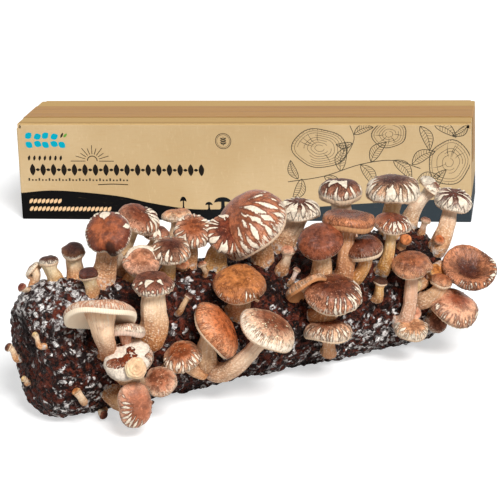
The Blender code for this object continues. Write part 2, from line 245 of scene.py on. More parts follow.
def piece_from(name, verts, faces, materials, attributes=None, slots=None, smooth=True):
    mesh = bpy.data.meshes.new(name)
    mesh.from_pydata([tuple(v) for v in verts], [], faces)
    for key, values in (attributes or {}).items():
        made = mesh.attributes.new(key, "FLOAT", "POINT")
        made.data.foreach_set("value", np.asarray(values, np.float32))
    for mat in materials:
        mesh.materials.append(mat)
    if slots is not None:
        mesh.polygons.foreach_set("material_index", np.asarray(slots, np.int32))
    if smooth:
        mesh.shade_smooth()
    mesh.validate()
    mesh.update()
    return add_object(name, mesh)


def hashed(cell, seed):
    """A steady pseudo-random number from 0 to 1 for each whole-numbered cell."""
    n = cell[..., 0] * 374761393 + cell[..., 1] * 668265263 + cell[..., 2] * 1274126177 + seed * 974711
    n = n & 0xFFFFFFFF
    n = ((n ^ (n >> 13)) * 1274126177) & 0xFFFFFFFF
    n = ((n ^ (n >> 16)) * 2246822519) & 0xFFFFFFFF
    return ((n ^ (n >> 15)) & 0xFFFFFF) / float(0xFFFFFF)


def noise3(points, seed):
    """Smooth value noise from 0 to 1 at an array of points."""
    base = np.floor(points).astype(np.int64)
    part = points - base
    part = part * part * (3 - 2 * part)
    total = 0
    for dx in (0, 1):
        for dy in (0, 1):
            for dz in (0, 1):
                weight = np.where(dx, part[..., 0], 1 - part[..., 0])
                weight = weight * np.where(dy, part[..., 1], 1 - part[..., 1])
                weight = weight * np.where(dz, part[..., 2], 1 - part[..., 2])
                total = total + weight * hashed(base + np.array((dx, dy, dz)), seed)
    return total


def waves(points, seed):
    """Noise about 0: a coarse one and, half as strong, a finer one."""
    return noise3(points, seed) - 0.5 + 0.5 * (noise3(points * 2.1, seed + 17) - 0.5)


def smoothstep(low, high, x):
    t = np.clip((x - low) / (high - low), 0, 1)
    return t * t * (3 - 2 * t)


def catmull_rom(pts, steps):
    """A smooth line through all the points but the first and the last, which only steer it."""
    line = []
    for a, b, c, d in zip(pts, pts[1:], pts[2:], pts[3:]):
        for k in range(steps):
            t = k / steps
            line.append(0.5 * (2 * b + (c - a) * t + (2 * a - 5 * b + 4 * c - d) * t * t
                               + (3 * b - a - 3 * c + d) * t ** 3))
    return line + [pts[-2]]


def log_radius(station):
    """Half the log's width at a station, less what its rounded end edges take off."""
    share = station / LOG_LENGTH
    near = share < 0.5
    edge = LOG_NEAR_EDGE if near else LOG_FAR_EDGE
    into = min(edge, max(0, edge - (station if near else LOG_LENGTH - station)))
    inset = edge - math.sqrt(edge ** 2 - into ** 2)
    return (LOG_NEAR_DIAMETER + (LOG_FAR_DIAMETER - LOG_NEAR_DIAMETER) * share) / 2 - inset


def log_point(station, front, up):
    """A point of the log: its station from the near end, and front and up from the sloping middle line."""
    sink = (LOG_NEAR_DIAMETER - LOG_FAR_DIAMETER) / 2 * station / LOG_LENGTH
    centre = Vector((LOG_CENTRE.x, LOG_CENTRE.y, LOG_NEAR_DIAMETER / 2))
    return centre + LOG_ALONG * (station - LOG_LENGTH / 2) + LOG_FRONT * front + UP * (up - sink)


def on_wall(station, clock):
    """A foot on the log's wall and its outward direction; clock is in degrees from the top to the front."""
    s = station / DRAWN_LENGTH * LOG_LENGTH
    turn = math.radians(clock)
    point = log_point(s, log_radius(s) * math.sin(turn), log_radius(s) * math.cos(turn))
    return point, LOG_FRONT * math.sin(turn) + UP * math.cos(turn)


def on_near_end(front, up):
    """A foot on the log's near end and its outward direction."""
    share = LOG_NEAR_DIAMETER / DRAWN_DIAMETER
    return log_point(0, front * share, up * share), -LOG_ALONG


def sawdust_material():
    """Damp dark crumbs under flecks and patches of white mycelium."""
    n = Finish("sawdust_log")
    n.colour = n.mix(n.steps(n.noise(230, 3, 0.7), 0.42, 0.64), linear(0x100807), linear(0x602a1c))
    n.coat(n.steps(n.noise(60, 2), 0.48, 0.66), linear(0x140908))
    n.coat(n.steps(n.noise(430, 2), 0.62, 0.74) * 0.8, linear(0x824a32))

    grow = n.value("mycelium")
    stray = 6.5 * MM
    swirl = {0: n.noise(260, 3, 0.5, output="Color"), 1: (stray, stray, stray), 2: n.place}
    shifted = n.add("ShaderNodeVectorMath", swirl, operation="MULTIPLY_ADD")
    odds, size = (n.add("ShaderNodeSeparateColor", {0: n.cells(150, shifted, "Color")}, k) for k in (0, 1))
    fleck = n.steps(odds + grow * 3.0, 0.60, 0.70) * n.steps(
        n.cells(150, shifted) - (size * 0.22 + 0.17), 0.06, -0.06)
    mass = n.noise(175, 4, 0.64, 0.5) + ((n.noise(34, 2) - 0.5) * 0.30 + grow)
    white = n.math("MAXIMUM", fleck * 0.92, n.steps(mass, 0.640, 0.700))
    n.coat(n.steps(mass, 0.57, 0.70) * 0.30, linear(0x706462))
    shaded = n.steps(n.noise(330, 3, 0.7), 0.38, 0.62)
    n.coat(white, n.mix(shaded, linear(0x766c6a), linear(0xeeeae6)))
    height = n.cells(430) * -0.9 + (n.cells(900) * -0.4 + white * 0.7)
    rough = n.mix(white, (0.42, 0.42, 0.42), (0.9, 0.9, 0.9))
    return n.done(rough, height, 1.5 * MM, 1.0, specular=0.12)


def log_relief(points, middle, outward, crumb):
    """How many millimetres each point of the log's skin stands out, and how much mycelium grows there."""
    along, front, half = np.array(LOG_ALONG), np.array(LOG_FRONT), LOG_NEAR_DIAMETER / 2
    at = ((points - middle) @ along) / LOG_LENGTH + 0.5
    behind = -((points - middle) @ front) / half
    height = (points[..., 2] - middle[2]) / half
    rise = 3.4 * waves(points / (24 * MM), 3) + 3.0 * waves(points / (6.5 * MM), 11)
    rise += 1.9 * smoothstep(0.35, 0.75, crumb)
    rise -= 2.2 * smoothstep(0.60, 0.85, noise3(points / (4.2 * MM), 47))
    rise += 3.4 * smoothstep(0.42, 0.22, at) * smoothstep(0.35, 0.95, height)
    rise -= 6.0 * smoothstep(0.16, 0.0, at) * smoothstep(0.0, 0.8, behind) * smoothstep(0.45, -0.7, height)
    rise -= 1.4 * smoothstep(0.12, 0.0, at)
    grow = 0.03 + 0.06 * smoothstep(0.25, -0.65, height) * smoothstep(-0.2, 0.5, outward @ front)
    grow += 0.11 * smoothstep(0.26, 0.10, at) * smoothstep(-0.1, 0.75, height)
    grow -= 0.05 * smoothstep(0.03, 0.0, at) * smoothstep(0.9, 0.5, height)
    grow += 0.05 * smoothstep(0.55, 0.85, at) * smoothstep(0.5, -0.3, height)
    return rise, grow


def build_log():
    """The log's skin: rings along it, pushed out and in by clumps, crumbs and pits."""
    sides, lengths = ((240, 200))
    end_rings = 26
    bend = 1 - np.cos(np.radians(np.linspace(4, 90, 14)))
    straight = LOG_LENGTH - LOG_NEAR_EDGE - LOG_FAR_EDGE
    profile = [*(LOG_NEAR_EDGE * bend), *(LOG_NEAR_EDGE + straight * np.arange(1, lengths) / lengths),
               *(LOG_LENGTH - LOG_FAR_EDGE * bend[::-1])]
    shares = [k / end_rings for k in range(1, end_rings)]
    plan = [(0.0, log_radius(profile[0]) * share) for share in shares]
    plan += [(s, log_radius(s)) for s in profile]
    plan += [(LOG_LENGTH, log_radius(profile[-1]) * share) for share in shares[::-1]]

    along = np.array(LOG_ALONG)
    angles = 2 * np.pi * np.arange(sides) / sides
    spokes = np.outer(np.sin(angles), LOG_FRONT) + np.outer(np.cos(angles), UP)
    points = np.array([np.array(log_point(s, 0, 0)) + radius * spokes for s, radius in plan])
    middle = np.array(log_point(LOG_LENGTH / 2, 0, 0))
    outward = points - middle
    outward = outward - (outward @ along)[..., None] * along
    outward /= np.maximum(np.linalg.norm(outward, axis=-1, keepdims=True), 1e-6)
    for i, (s, _) in enumerate(plan):
        near = max(0, 1 - s / LOG_NEAR_EDGE)
        far = max(0, 1 - (LOG_LENGTH - s) / LOG_FAR_EDGE)
        outward[i] = outward[i] * (1 - near - far) + along * (far - near)

    crumb = noise3(points / (2.3 * MM), 31)
    rise, grow = log_relief(points, middle, outward, crumb)
    moved = points + outward * (rise[..., None] - LOG_SET_BACK) * MM * LOG_RELIEF
    moved[..., 2] = np.maximum(moved[..., 2], 0.1 * MM + 0.5 * MM * crumb)

    count = len(plan) * sides
    after = [(j + 1) % sides for j in range(sides)]
    faces = grid_faces(len(plan), sides)
    faces += [(j, count, after[j]) for j in range(sides)]
    faces += [(count - sides + j, count - sides + after[j], count + 1) for j in range(sides)]
    verts = np.concatenate([moved.reshape(-1, 3), [moved[0].mean(0), moved[-1].mean(0)]])
    grow = np.append(grow, (0.1, 0.1))
    log = piece_from("log", verts, [f[::-1] for f in faces], [sawdust_material()], {"mycelium": grow})
    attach(log, "root")
    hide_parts("substrate_log")


# Cap profiles, as in the part: (radius, height) as shares of the cap's radius, then the crown's height.
CAP_FORMS = {
    "dome": ((0.55, -0.03), (0.88, -0.20), (1.00, -0.08), (0.93, 0.16), (0.68, 0.36), (0.34, 0.46), 0.49),
    "bell": ((0.60, -0.05), (0.90, -0.22), (1.00, -0.08), (0.93, 0.24), (0.70, 0.50), (0.36, 0.65), 0.69),
    "button": ((0.60, -0.24), (0.86, -0.40), (1.00, -0.16), (0.95, 0.18), (0.72, 0.44), (0.36, 0.56), 0.59),
    "cushion": ((0.50, -0.14), (0.86, -0.28), (1.00, -0.05), (0.94, 0.20), (0.68, 0.33), (0.33, 0.38), 0.38),
    "shell": ((0.42, 0.16), (0.80, -0.06), (0.97, -0.12), (1.00, 0.08), (0.80, 0.28), (0.40, 0.40), 0.42),
    "funnel": ((0.50, -0.36), (0.90, -0.12), (1.00, 0.02), (0.90, 0.13), (0.60, 0.03), (0.28, -0.14), -0.20),
    "pin": ((0.86, -0.30), (1.00, 0.00), (0.86, 0.42), (0.48, 0.68), 0.76),
}

# What a mushroom looks like where its own row says nothing else.
#   flesh, top, base, gills: colours of the torn flesh, the stem's neck, the stem's foot and the gills
#   warm: how far out the crown's colour reaches; gloss: roughness of the skin; stain: strength of the darker
#       mottling; speckle: pale specks; flakes: pale flakes on the stem
#   stripes: (count, where they start, width, rim angle of the middle, half of the arc), white splits
#   lenses: (rim angle, distance from the crown, length, width) of single splits, as shares of the radius;
#       one with a width below 0 points outward
#   folds: (rim angle, distance, length, width) of creases pressed into the cap, painted dark as shade
#   fringe: white scales at the margin (amount, where they start); scaly: crazed skin over the cap
#   taper: the stem's thickness at its neck and at its foot, as shares of the stated one, and how the one
#       passes into the other
#   shape: the rim's outline; ripples: height of rings round the crown, in millimetres; sides: mesh columns
PLAIN = dict(
    flesh=0xffeed6, top=0xf6d6b0, base=0xdca26e, gills=0xecceae, warm=0.8, gloss=0.42, stain=1.0,
    speckle=0.35, flakes=0.3, stripes=None, lenses=(), folds=(), fringe=(0.35, 0.82), scaly=0.0,
    taper=(0.90, 1.22, 1.4), shape=np.ones_like, ripples=0.0, sides=None)


# How far out on a cap, from 0 at its crown and 1 at its widest place, its skin, crazing, splits and folds
# end and its gills begin.
SKIN_END, CRAZING_END, SPLITS_END, FOLDS_END, GILLS_BEGIN = 1.02, 1.1, 1.14, 1.5, 1.045

# How far inside a split a point lies that is in none, and the millimetres that a stem runs into the log.
NO_SPLIT = -0.3
STEM_SINK = 3.0


def wrapped(angle):
    return (angle + np.pi) % (2 * np.pi) - np.pi


def creases(turn, out, folds):
    """How deep each point lies in a fold, from 0 to 1."""
    deep = np.zeros_like(turn)
    for at, middle, length, width in folds:
        along = np.clip((out - middle + length / 2) / length, 0, 1)
        away = np.abs(wrapped(turn - math.radians(at))) * np.clip(out, 0.12, 1.0)
        half = width / 2 * (0.35 + 0.65 * along)
        inside = smoothstep(half, 0, away) * smoothstep(0, 0.35, along) * (out < middle + length)
        deep = np.maximum(deep, inside)
    return deep


def splits(turn, out, look, rng):
    """How far each point lies inside a split of the skin, as a share of the radius; below 0 outside all."""
    field = np.full(turn.shape, NO_SPLIT)
    radius = np.clip(out, 0.12, 1.0)

    def split(at, start, end, half, lens):
        along = np.clip((out - start) / (end - start), 0, 1)
        if not lens:
            wide = half * along ** 0.8
        elif half > 0:
            wide = half * np.sin(np.pi * along ** 1.3) ** 1.3
        else:
            wide = -half * (1 - along) ** 0.9 * smoothstep(0, 0.2, along)
        bend = 0.05 * np.sin(7 * out + at * 5)
        away = np.abs(wrapped(turn - at + bend)) * radius
        past = np.maximum(np.maximum(start - out, out - end), 0)
        return np.where(past > 0, -np.hypot(past, away), wide - away)

    if look["stripes"]:
        count, start, width, middle, half_arc = look["stripes"]
        for k in range(count):
            share = (k + 0.5 + rng.uniform(-0.3, 0.3)) / count
            at = math.radians(middle + half_arc * (2 * share - 1))
            begin = start + rng.uniform(-0.14, 0.26) * (1 - start)
            half = width * rng.uniform(0.5, 1.35) / 2
            if rng.random() < 0.4:
                field = np.maximum(field, split(at, begin, rng.uniform(0.88, 1.04), half * 1.3, True))
            else:
                field = np.maximum(field, split(at, begin, 1.12, half, False))
    for at, out_at, length, width in look["lenses"]:
        start, end = out_at - length / 2, out_at + length / 2
        field = np.maximum(field, split(math.radians(at), start, end, width / 2, True))
    return field


def cap_material(name, look):
    """Mottled skin from crown to rim, with paler patches that are partly painted highlight, a pale fringe,
    flesh showing in the splits, and painted shade in the folds and at the margin.
    """
    n = Finish(name + "_cap")
    x, y, out = n.value("polar_x"), n.value("polar_y"), n.value("out")
    around = n.vector(x, y, out * 0.35)
    rays = n.noise(14, 3, 0.65, place=around)
    mottle = n.noise(330, 3, 0.65)
    grain = n.noise(620, 3, 0.7)
    warm, stain, (amount, start) = look["warm"], look["stain"], look["fringe"]
    crown = shade(linear(look["crown"]), (1.0, 0.85, 0.68))
    rim = shade(linear(look["rim"]), (1.12, 1.06, 0.98))
    flesh = linear(look["flesh"])
    # glow: a paler tone, partly the cap's own mottling and partly painted highlight
    glow = shade(crown, (1.7, 1.85, 2.0))
    dark = shade(crown, (0.30, 0.23, 0.21))
    light = tuple(min(1, c * 1.6 + 0.04) for c in rim)
    n.colour = n.mix(n.steps(out + (rays - 0.5) * 0.7, warm * 0.45, min(1.05, warm * 1.25)), crown, rim)
    # paler patches: partly the cap's own mottling, partly painted highlight
    n.coat(n.steps(n.noise(90, 3, 0.6), 0.46, 0.64) * 0.45, glow)
    n.coat(n.steps(n.noise(130, 4, 0.65, 0.4), 0.46, 0.60) * (0.66 * stain), dark)
    n.coat(n.steps(mottle, 0.52, 0.62) * (0.56 * stain), dark)
    # paler mottling, partly painted highlight
    n.coat(n.steps(mottle, 0.46, 0.34) * 0.55, glow)
    n.coat(n.steps(rays, 0.56, 0.66) * (out * (0.6 * stain)), dark)
    n.coat(n.steps(n.noise(38, 2, 0.6, place=around), 0.53, 0.64) * (n.steps(out, 0.35, 1.0) * 0.7), light)
    specks = n.steps(n.cells(480), 0.34, 0.12) * (n.steps(n.noise(150, 2), 0.46, 0.60) * look["speckle"])
    n.coat(specks, light)

    close = n.steps(out, start - 0.06, 1.0)
    scales = n.noise(22, 3, 0.7, place=n.vector(x, y, out * 0.28))
    fringe = n.steps(scales + close * (0.20 * amount), 0.57, 0.64) * (
        n.steps(close, 0.0, 0.3) * min(1.0, amount * 1.5))
    n.coat(fringe, flesh)
    torn = n.value("split") + (grain - 0.5) * 0.5 + (n.noise(260, 2) - 0.5) * 0.8
    bare = n.steps(torn, -0.04, 0.12)
    n.coat(n.steps(torn, -0.60, -0.05) * 0.75, shade(crown, 0.36))
    n.coat(bare, n.mix(n.steps(n.noise(520, 3), 0.35, 0.7), shade(flesh, 0.72), flesh))
    fold = n.value("fold")
    # painted shade: the folds are coloured near black
    n.coat(n.steps(fold, 0.05, 0.7) * 0.92, shade(crown, 0.07))
    # painted shade: the skin darkens towards the margin, less where the fringe is thick
    n.coat(n.steps(out, 0.86, 1.04) * (0.55 * (1 - min(1, amount))), shade(crown, 0.3))
    height = rays * 0.8 + grain * 0.5 + fringe * 0.5 - bare * 0.5
    matt = n.math("MAXIMUM", n.math("MAXIMUM", bare, fringe), n.steps(fold, 0.02, 0.3))
    return n.done(matt * 0.45 + (look["gloss"] - 0.04), height, 0.7 * MM, 1.0,
                  specular=0.22 if look["gloss"] < 0.4 else 0.12)


def gill_material(name, look):
    """Pale gills, with painted shade between the ridges."""
    n = Finish(name + "_gills")
    tone = linear(look["gills"])
    # painted shade between the gill ridges
    n.colour = n.mix(n.steps(n.value("gill"), 0.0, 0.8), shade(tone, 0.82), tone)
    n.coat(n.noise(120, 3) * 0.3, shade(tone, 0.74))
    return n.done(0.72, n.noise(800, 2), 0.2 * MM, 0.5, specular=0.15)


def stem_material(name, look):
    """Pale fibres, browner towards the foot, with a net of flakes, a little fuzz at the foot, and painted
    shade at the neck under the cap.
    """
    n = Finish(name + "_stem")
    rise = n.value("rise")
    fibres = n.noise(9, 4, 0.65, 0.2, place=n.vector(n.value("polar_x"), n.value("polar_y"), rise * 0.45))
    top, base = linear(look["top"]), linear(look["base"])
    brown = shade(base, (0.60, 0.42, 0.32))
    level = rise + (fibres - 0.5) * 0.8
    n.colour = n.mix(n.steps(level, 0.15, 0.85), base, top)
    n.coat(n.steps(fibres, 0.52, 0.66) * 0.55, brown)
    n.coat(n.steps(fibres, 0.46, 0.36) * 0.55, linear(0xfff0dc))
    net = n.cells(560, n.stretched((1, 1, 1.3)))
    meshes = n.steps(net, 0.38, 0.62) * n.steps(level, 0.85, 0.25)
    n.coat(meshes * 0.62, brown)
    flake = n.steps(net, 0.34, 0.16) * (
        n.steps(n.noise(130, 3), 0.44, 0.56) * min(1.0, 0.35 + look["flakes"]))
    n.coat(flake, linear(0xfcecd4))
    n.coat(n.steps(n.noise(110, 3, 0.6), 0.54, 0.68) * 0.35, brown)
    # painted shade: the neck darkens under the cap
    n.coat(n.steps(rise, 0.90, 1.0) * 0.4, brown)
    n.coat(n.steps(rise, 0.20, 0.02) * n.steps(n.noise(260, 3), 0.46, 0.60), linear(0xd6d0c8))
    return n.done(0.58, fibres + flake * 0.6 + meshes * -0.4, 0.9 * MM, 0.8, specular=0.2)


def lean_axis(lean, heading):
    tip, turn = math.radians(lean), math.radians(heading)
    level = -LOG_ALONG * math.cos(turn) + LOG_FRONT * math.sin(turn)
    return UP * math.cos(tip) + level * math.sin(tip)


def bezier(points, t):
    a, b, c, d = points
    return a * (1 - t) ** 3 + b * 3 * t * (1 - t) ** 2 + c * 3 * t * t * (1 - t) + d * t ** 3


def twinned(at, apart, lobe):
    """Two round lobes grown together, side by side along the rim angle at."""
    def rim(a):
        away = a - math.radians(at)
        return apart * np.abs(np.cos(away)) + np.sqrt(lobe ** 2 - (apart * np.sin(away)) ** 2)
    return rim


def lobed(*bumps):
    """A rim with bumps and hollows: (rim angle, height as a share of the radius, spread in radians)."""
    def rim(a):
        total = np.ones_like(a)
        for at, height, spread in bumps:
            total = total + height * np.exp(-(wrapped(a - math.radians(at)) / spread) ** 2)
        return total
    return rim


def detail_for(width):
    """Mesh columns of a cap, rows to a span of its profile, and columns and rows of its stem."""
    for limit, counts in ((13, (40, 4, 20, 16)), (25, (104, 7, 32, 26)), (40, (156, 7, 40, 34)),
                          (math.inf, (200, 8, 48, 38))):
        if width < limit:
            return counts


class Mushroom:
    """One mushroom, as in the part but turned finely, with splits, folds, gills and fibres.

    reach places the cap's middle from the foot (along, front, up), and lengths are in millimetres. Its
    seed and phase, from its name and its place, make its lumps and waves its own.
    """

    def __init__(self, name, form, foot, reach, width, lean, heading, stem, crown, rim, own=None):
        self.name = name
        self.look = {**PLAIN, **(own or {}), "crown": crown, "rim": rim}
        self.seed = sum(ord(c) * (i + 3) for i, c in enumerate(name))
        point, self.outward = foot
        self.phase = (point - log_point(0, 0, 0)).dot(LOG_ALONG) * 90
        self.radius = width * MM / 2
        self.thick = stem * MM / 2
        along, front, up = (v * MM for v in reach)
        self.middle = point + LOG_ALONG * along + LOG_FRONT * front + UP * up
        self.axis = lean_axis(lean, heading)
        self.across = self.axis.cross(UP)
        if self.across.length < 0.05:
            self.across = LOG_ALONG.copy()
        self.across.normalize()
        self.uphill = self.across.cross(self.axis)
        self.sides, steps, self.around, self.levels = detail_for(width)
        self.sides = self.look["sides"] or self.sides

        *profile, peak = CAP_FORMS[form]
        low = profile[0][1] - 0.02
        neck = self.middle + self.axis * self.radius * low
        span = (neck - point).length
        self.path = (point, point + self.outward * span * 0.38, neck - self.axis * span * 0.42, neck)
        line = [np.array(p, float) for p in [(self.thick / self.radius * 1.05, low), *profile, (0, peak)]]
        line = [2 * line[0] - line[1], *line, line[-2] * (-1, 1)]
        self.line = np.array(catmull_rom(line, steps))
        self.line[:, 0] = np.maximum(self.line[:, 0], 0)

    def cap(self):
        """The cap's points from its neck round the rim to its crown, and what its materials read there.

        out is 0 at the crown, 1 at the widest place and more below it.
        """
        look, seed, radius, phase = self.look, self.seed, self.radius, self.phase
        share, lift = self.line[:, :1], self.line[:, 1:]
        travel = np.linalg.norm(np.diff(self.line, axis=0), axis=1)
        travel = np.concatenate([[0], np.cumsum(travel)])
        out = (travel[-1] - travel) / (travel[-1] - travel[np.argmax(share)])
        turn, out = np.meshgrid(2 * np.pi * np.arange(self.sides) / self.sides, out)
        neck = self.thick / radius
        wave = 1 + 0.03 * np.sin(2 * turn + phase)
        swirl = np.stack([np.cos(turn) * 1.7 + seed, np.sin(turn) * 1.7, out * 0 + seed], -1)
        reach = radius * (neck + (share - neck) * look["shape"](turn) * wave)
        reach = reach * (1 + 0.022 * (noise3(swirl, seed) - 0.5) * out)
        reach = np.where(share < neck, radius * share, reach)
        lift = radius * (lift + 0.05 * np.sin(3 * turn + phase * 2) * np.clip(out, 0, 1) ** 3)
        spoke = np.cos(turn)[..., None] * self.across + np.sin(turn)[..., None] * self.uphill
        base = np.array(self.middle) + reach[..., None] * spoke + lift[..., None] * self.axis
        normal = np.cross(np.roll(base, -1, 1) - np.roll(base, 1, 1), np.gradient(base, axis=0))
        normal /= np.maximum(np.linalg.norm(normal, axis=-1, keepdims=True), 1e-9)

        field = np.where(out <= SPLITS_END, splits(turn, out, look, random.Random(self.name)), NO_SPLIT)
        size = max(radius, 6 * MM)
        if look["scaly"]:
            crazed = 0.035 * look["scaly"] - np.abs(noise3(base / (size * 0.16), seed + 5) - 0.5)
            patch = noise3(base / (size * 0.42), seed + 9) - 0.68 + 0.22 * look["scaly"]
            crazed = np.where(out <= CRAZING_END, 0.9 * np.maximum(crazed, patch), NO_SPLIT)
            field = np.maximum(field, crazed)
        folded = creases(turn, out, look["folds"]) * (out <= FOLDS_END)
        top = out <= SKIN_END
        under = ~top & (share > neck * 1.02)
        gills = np.where(under, 0.5 + 0.5 * np.cos(turn * (self.sides // 4)), 0.6)

        torn = 0.6 * smoothstep(-0.02, 0.03, field) * min(1, radius / (14 * MM))
        lumps = 2.2 * (noise3(base / (size * 0.55), seed) - 0.5) * min(1, radius / (12 * MM))
        grain = 0.6 * (noise3(base / (2.6 * MM), seed + 2) - 0.5) * np.clip(out * 1.2, 0.3, 1)
        rings = look["ripples"] * np.sin(26 * out)
        deep = 0.35 * np.clip((1.9 - out) * 1.5, 0, 1) * np.clip((out - 1.04) * 12, 0, 1)
        deep = deep * (1 - gills) * min(1, radius / (16 * MM))
        rise = np.where(top, lumps + grain + rings, 0) - np.where(under, deep, 0) - torn
        rise = rise * MM - 0.16 * radius * folded
        rise[-1] = rise[-1].mean()
        points = base + normal * rise[..., None]
        points[-1] = points[-1].mean(0)
        return points, {"polar_x": np.cos(turn), "polar_y": np.sin(turn), "out": out,
                        "split": np.clip(field / 0.10, -1, 1), "gill": gills, "fold": folded}

    def stem(self):
        """The stem's points from its neck down into the log, and what its material reads there."""
        neck, foot, power = self.look["taper"]
        side, lift, heading = self.across, self.uphill, self.axis
        turns = 2 * np.pi * np.arange(self.around) / self.around
        shares = [1 - k / self.levels for k in range(self.levels + 1)]
        rows = []
        for t in shares:
            here = bezier(self.path, t)
            step = (bezier(self.path, min(t + 0.02, 1)) - bezier(self.path, max(t - 0.02, 0))).normalized()
            roll = heading.rotation_difference(step).to_matrix()
            side, lift, heading = roll @ side, roll @ lift, step
            if t == 0:
                here = here - self.outward * STEM_SINK * MM
            here = np.array(here)
            thick = self.thick * (neck + (foot - neck) * (1 - t) ** power + 0.2 * max(0, t - 0.8) / 0.2)
            ring = np.outer(np.cos(turns), side) + np.outer(np.sin(turns), lift)
            bulge = 1 + 0.10 * np.sin(2 * turns + 3 * t + self.phase)
            bulge += 0.05 * np.sin(3 * turns - 5 * t + 2 * self.phase)
            ribs = 0.035 * np.sin(9 * turns + 2.2 * t + self.phase) + 0.025 * np.sin(14 * turns - 1.5 * t)
            lumps = 0.26 * (noise3(here / (7 * MM) + ring * 0.8, self.seed) - 0.5)
            rows.append(here + ring * (thick * (bulge + ribs + lumps))[:, None])
        turn, rise = np.meshgrid(turns, shares)
        return np.array(rows), {"polar_x": np.cos(turn), "polar_y": np.sin(turn), "rise": rise}

    def build(self):
        cap, cap_values = self.cap()
        stem, stem_values = self.stem()
        faces = [f[::-1] for f in grid_faces(len(cap), self.sides)]
        faces += grid_faces(len(stem), self.around, len(cap) * self.sides)
        slots = np.where(cap_values["out"][:-1] > GILLS_BEGIN, 1, 0).ravel().tolist()
        slots += [2] * (len(faces) - len(slots))
        none = (np.zeros(cap.shape[:2]), np.zeros(stem.shape[:2]))
        attributes = {}
        for key in ("polar_x", "polar_y", "out", "split", "gill", "fold", "rise"):
            parts = cap_values.get(key, none[0]), stem_values.get(key, none[1])
            attributes[key] = np.concatenate([part.ravel() for part in parts])
        materials = [make(self.name, self.look) for make in (cap_material, gill_material, stem_material)]
        points = np.concatenate([cap.reshape(-1, 3), stem.reshape(-1, 3)])
        piece = piece_from(self.name + "_grown", points, faces, materials, attributes, slots)
        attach(piece, "root")
        return piece


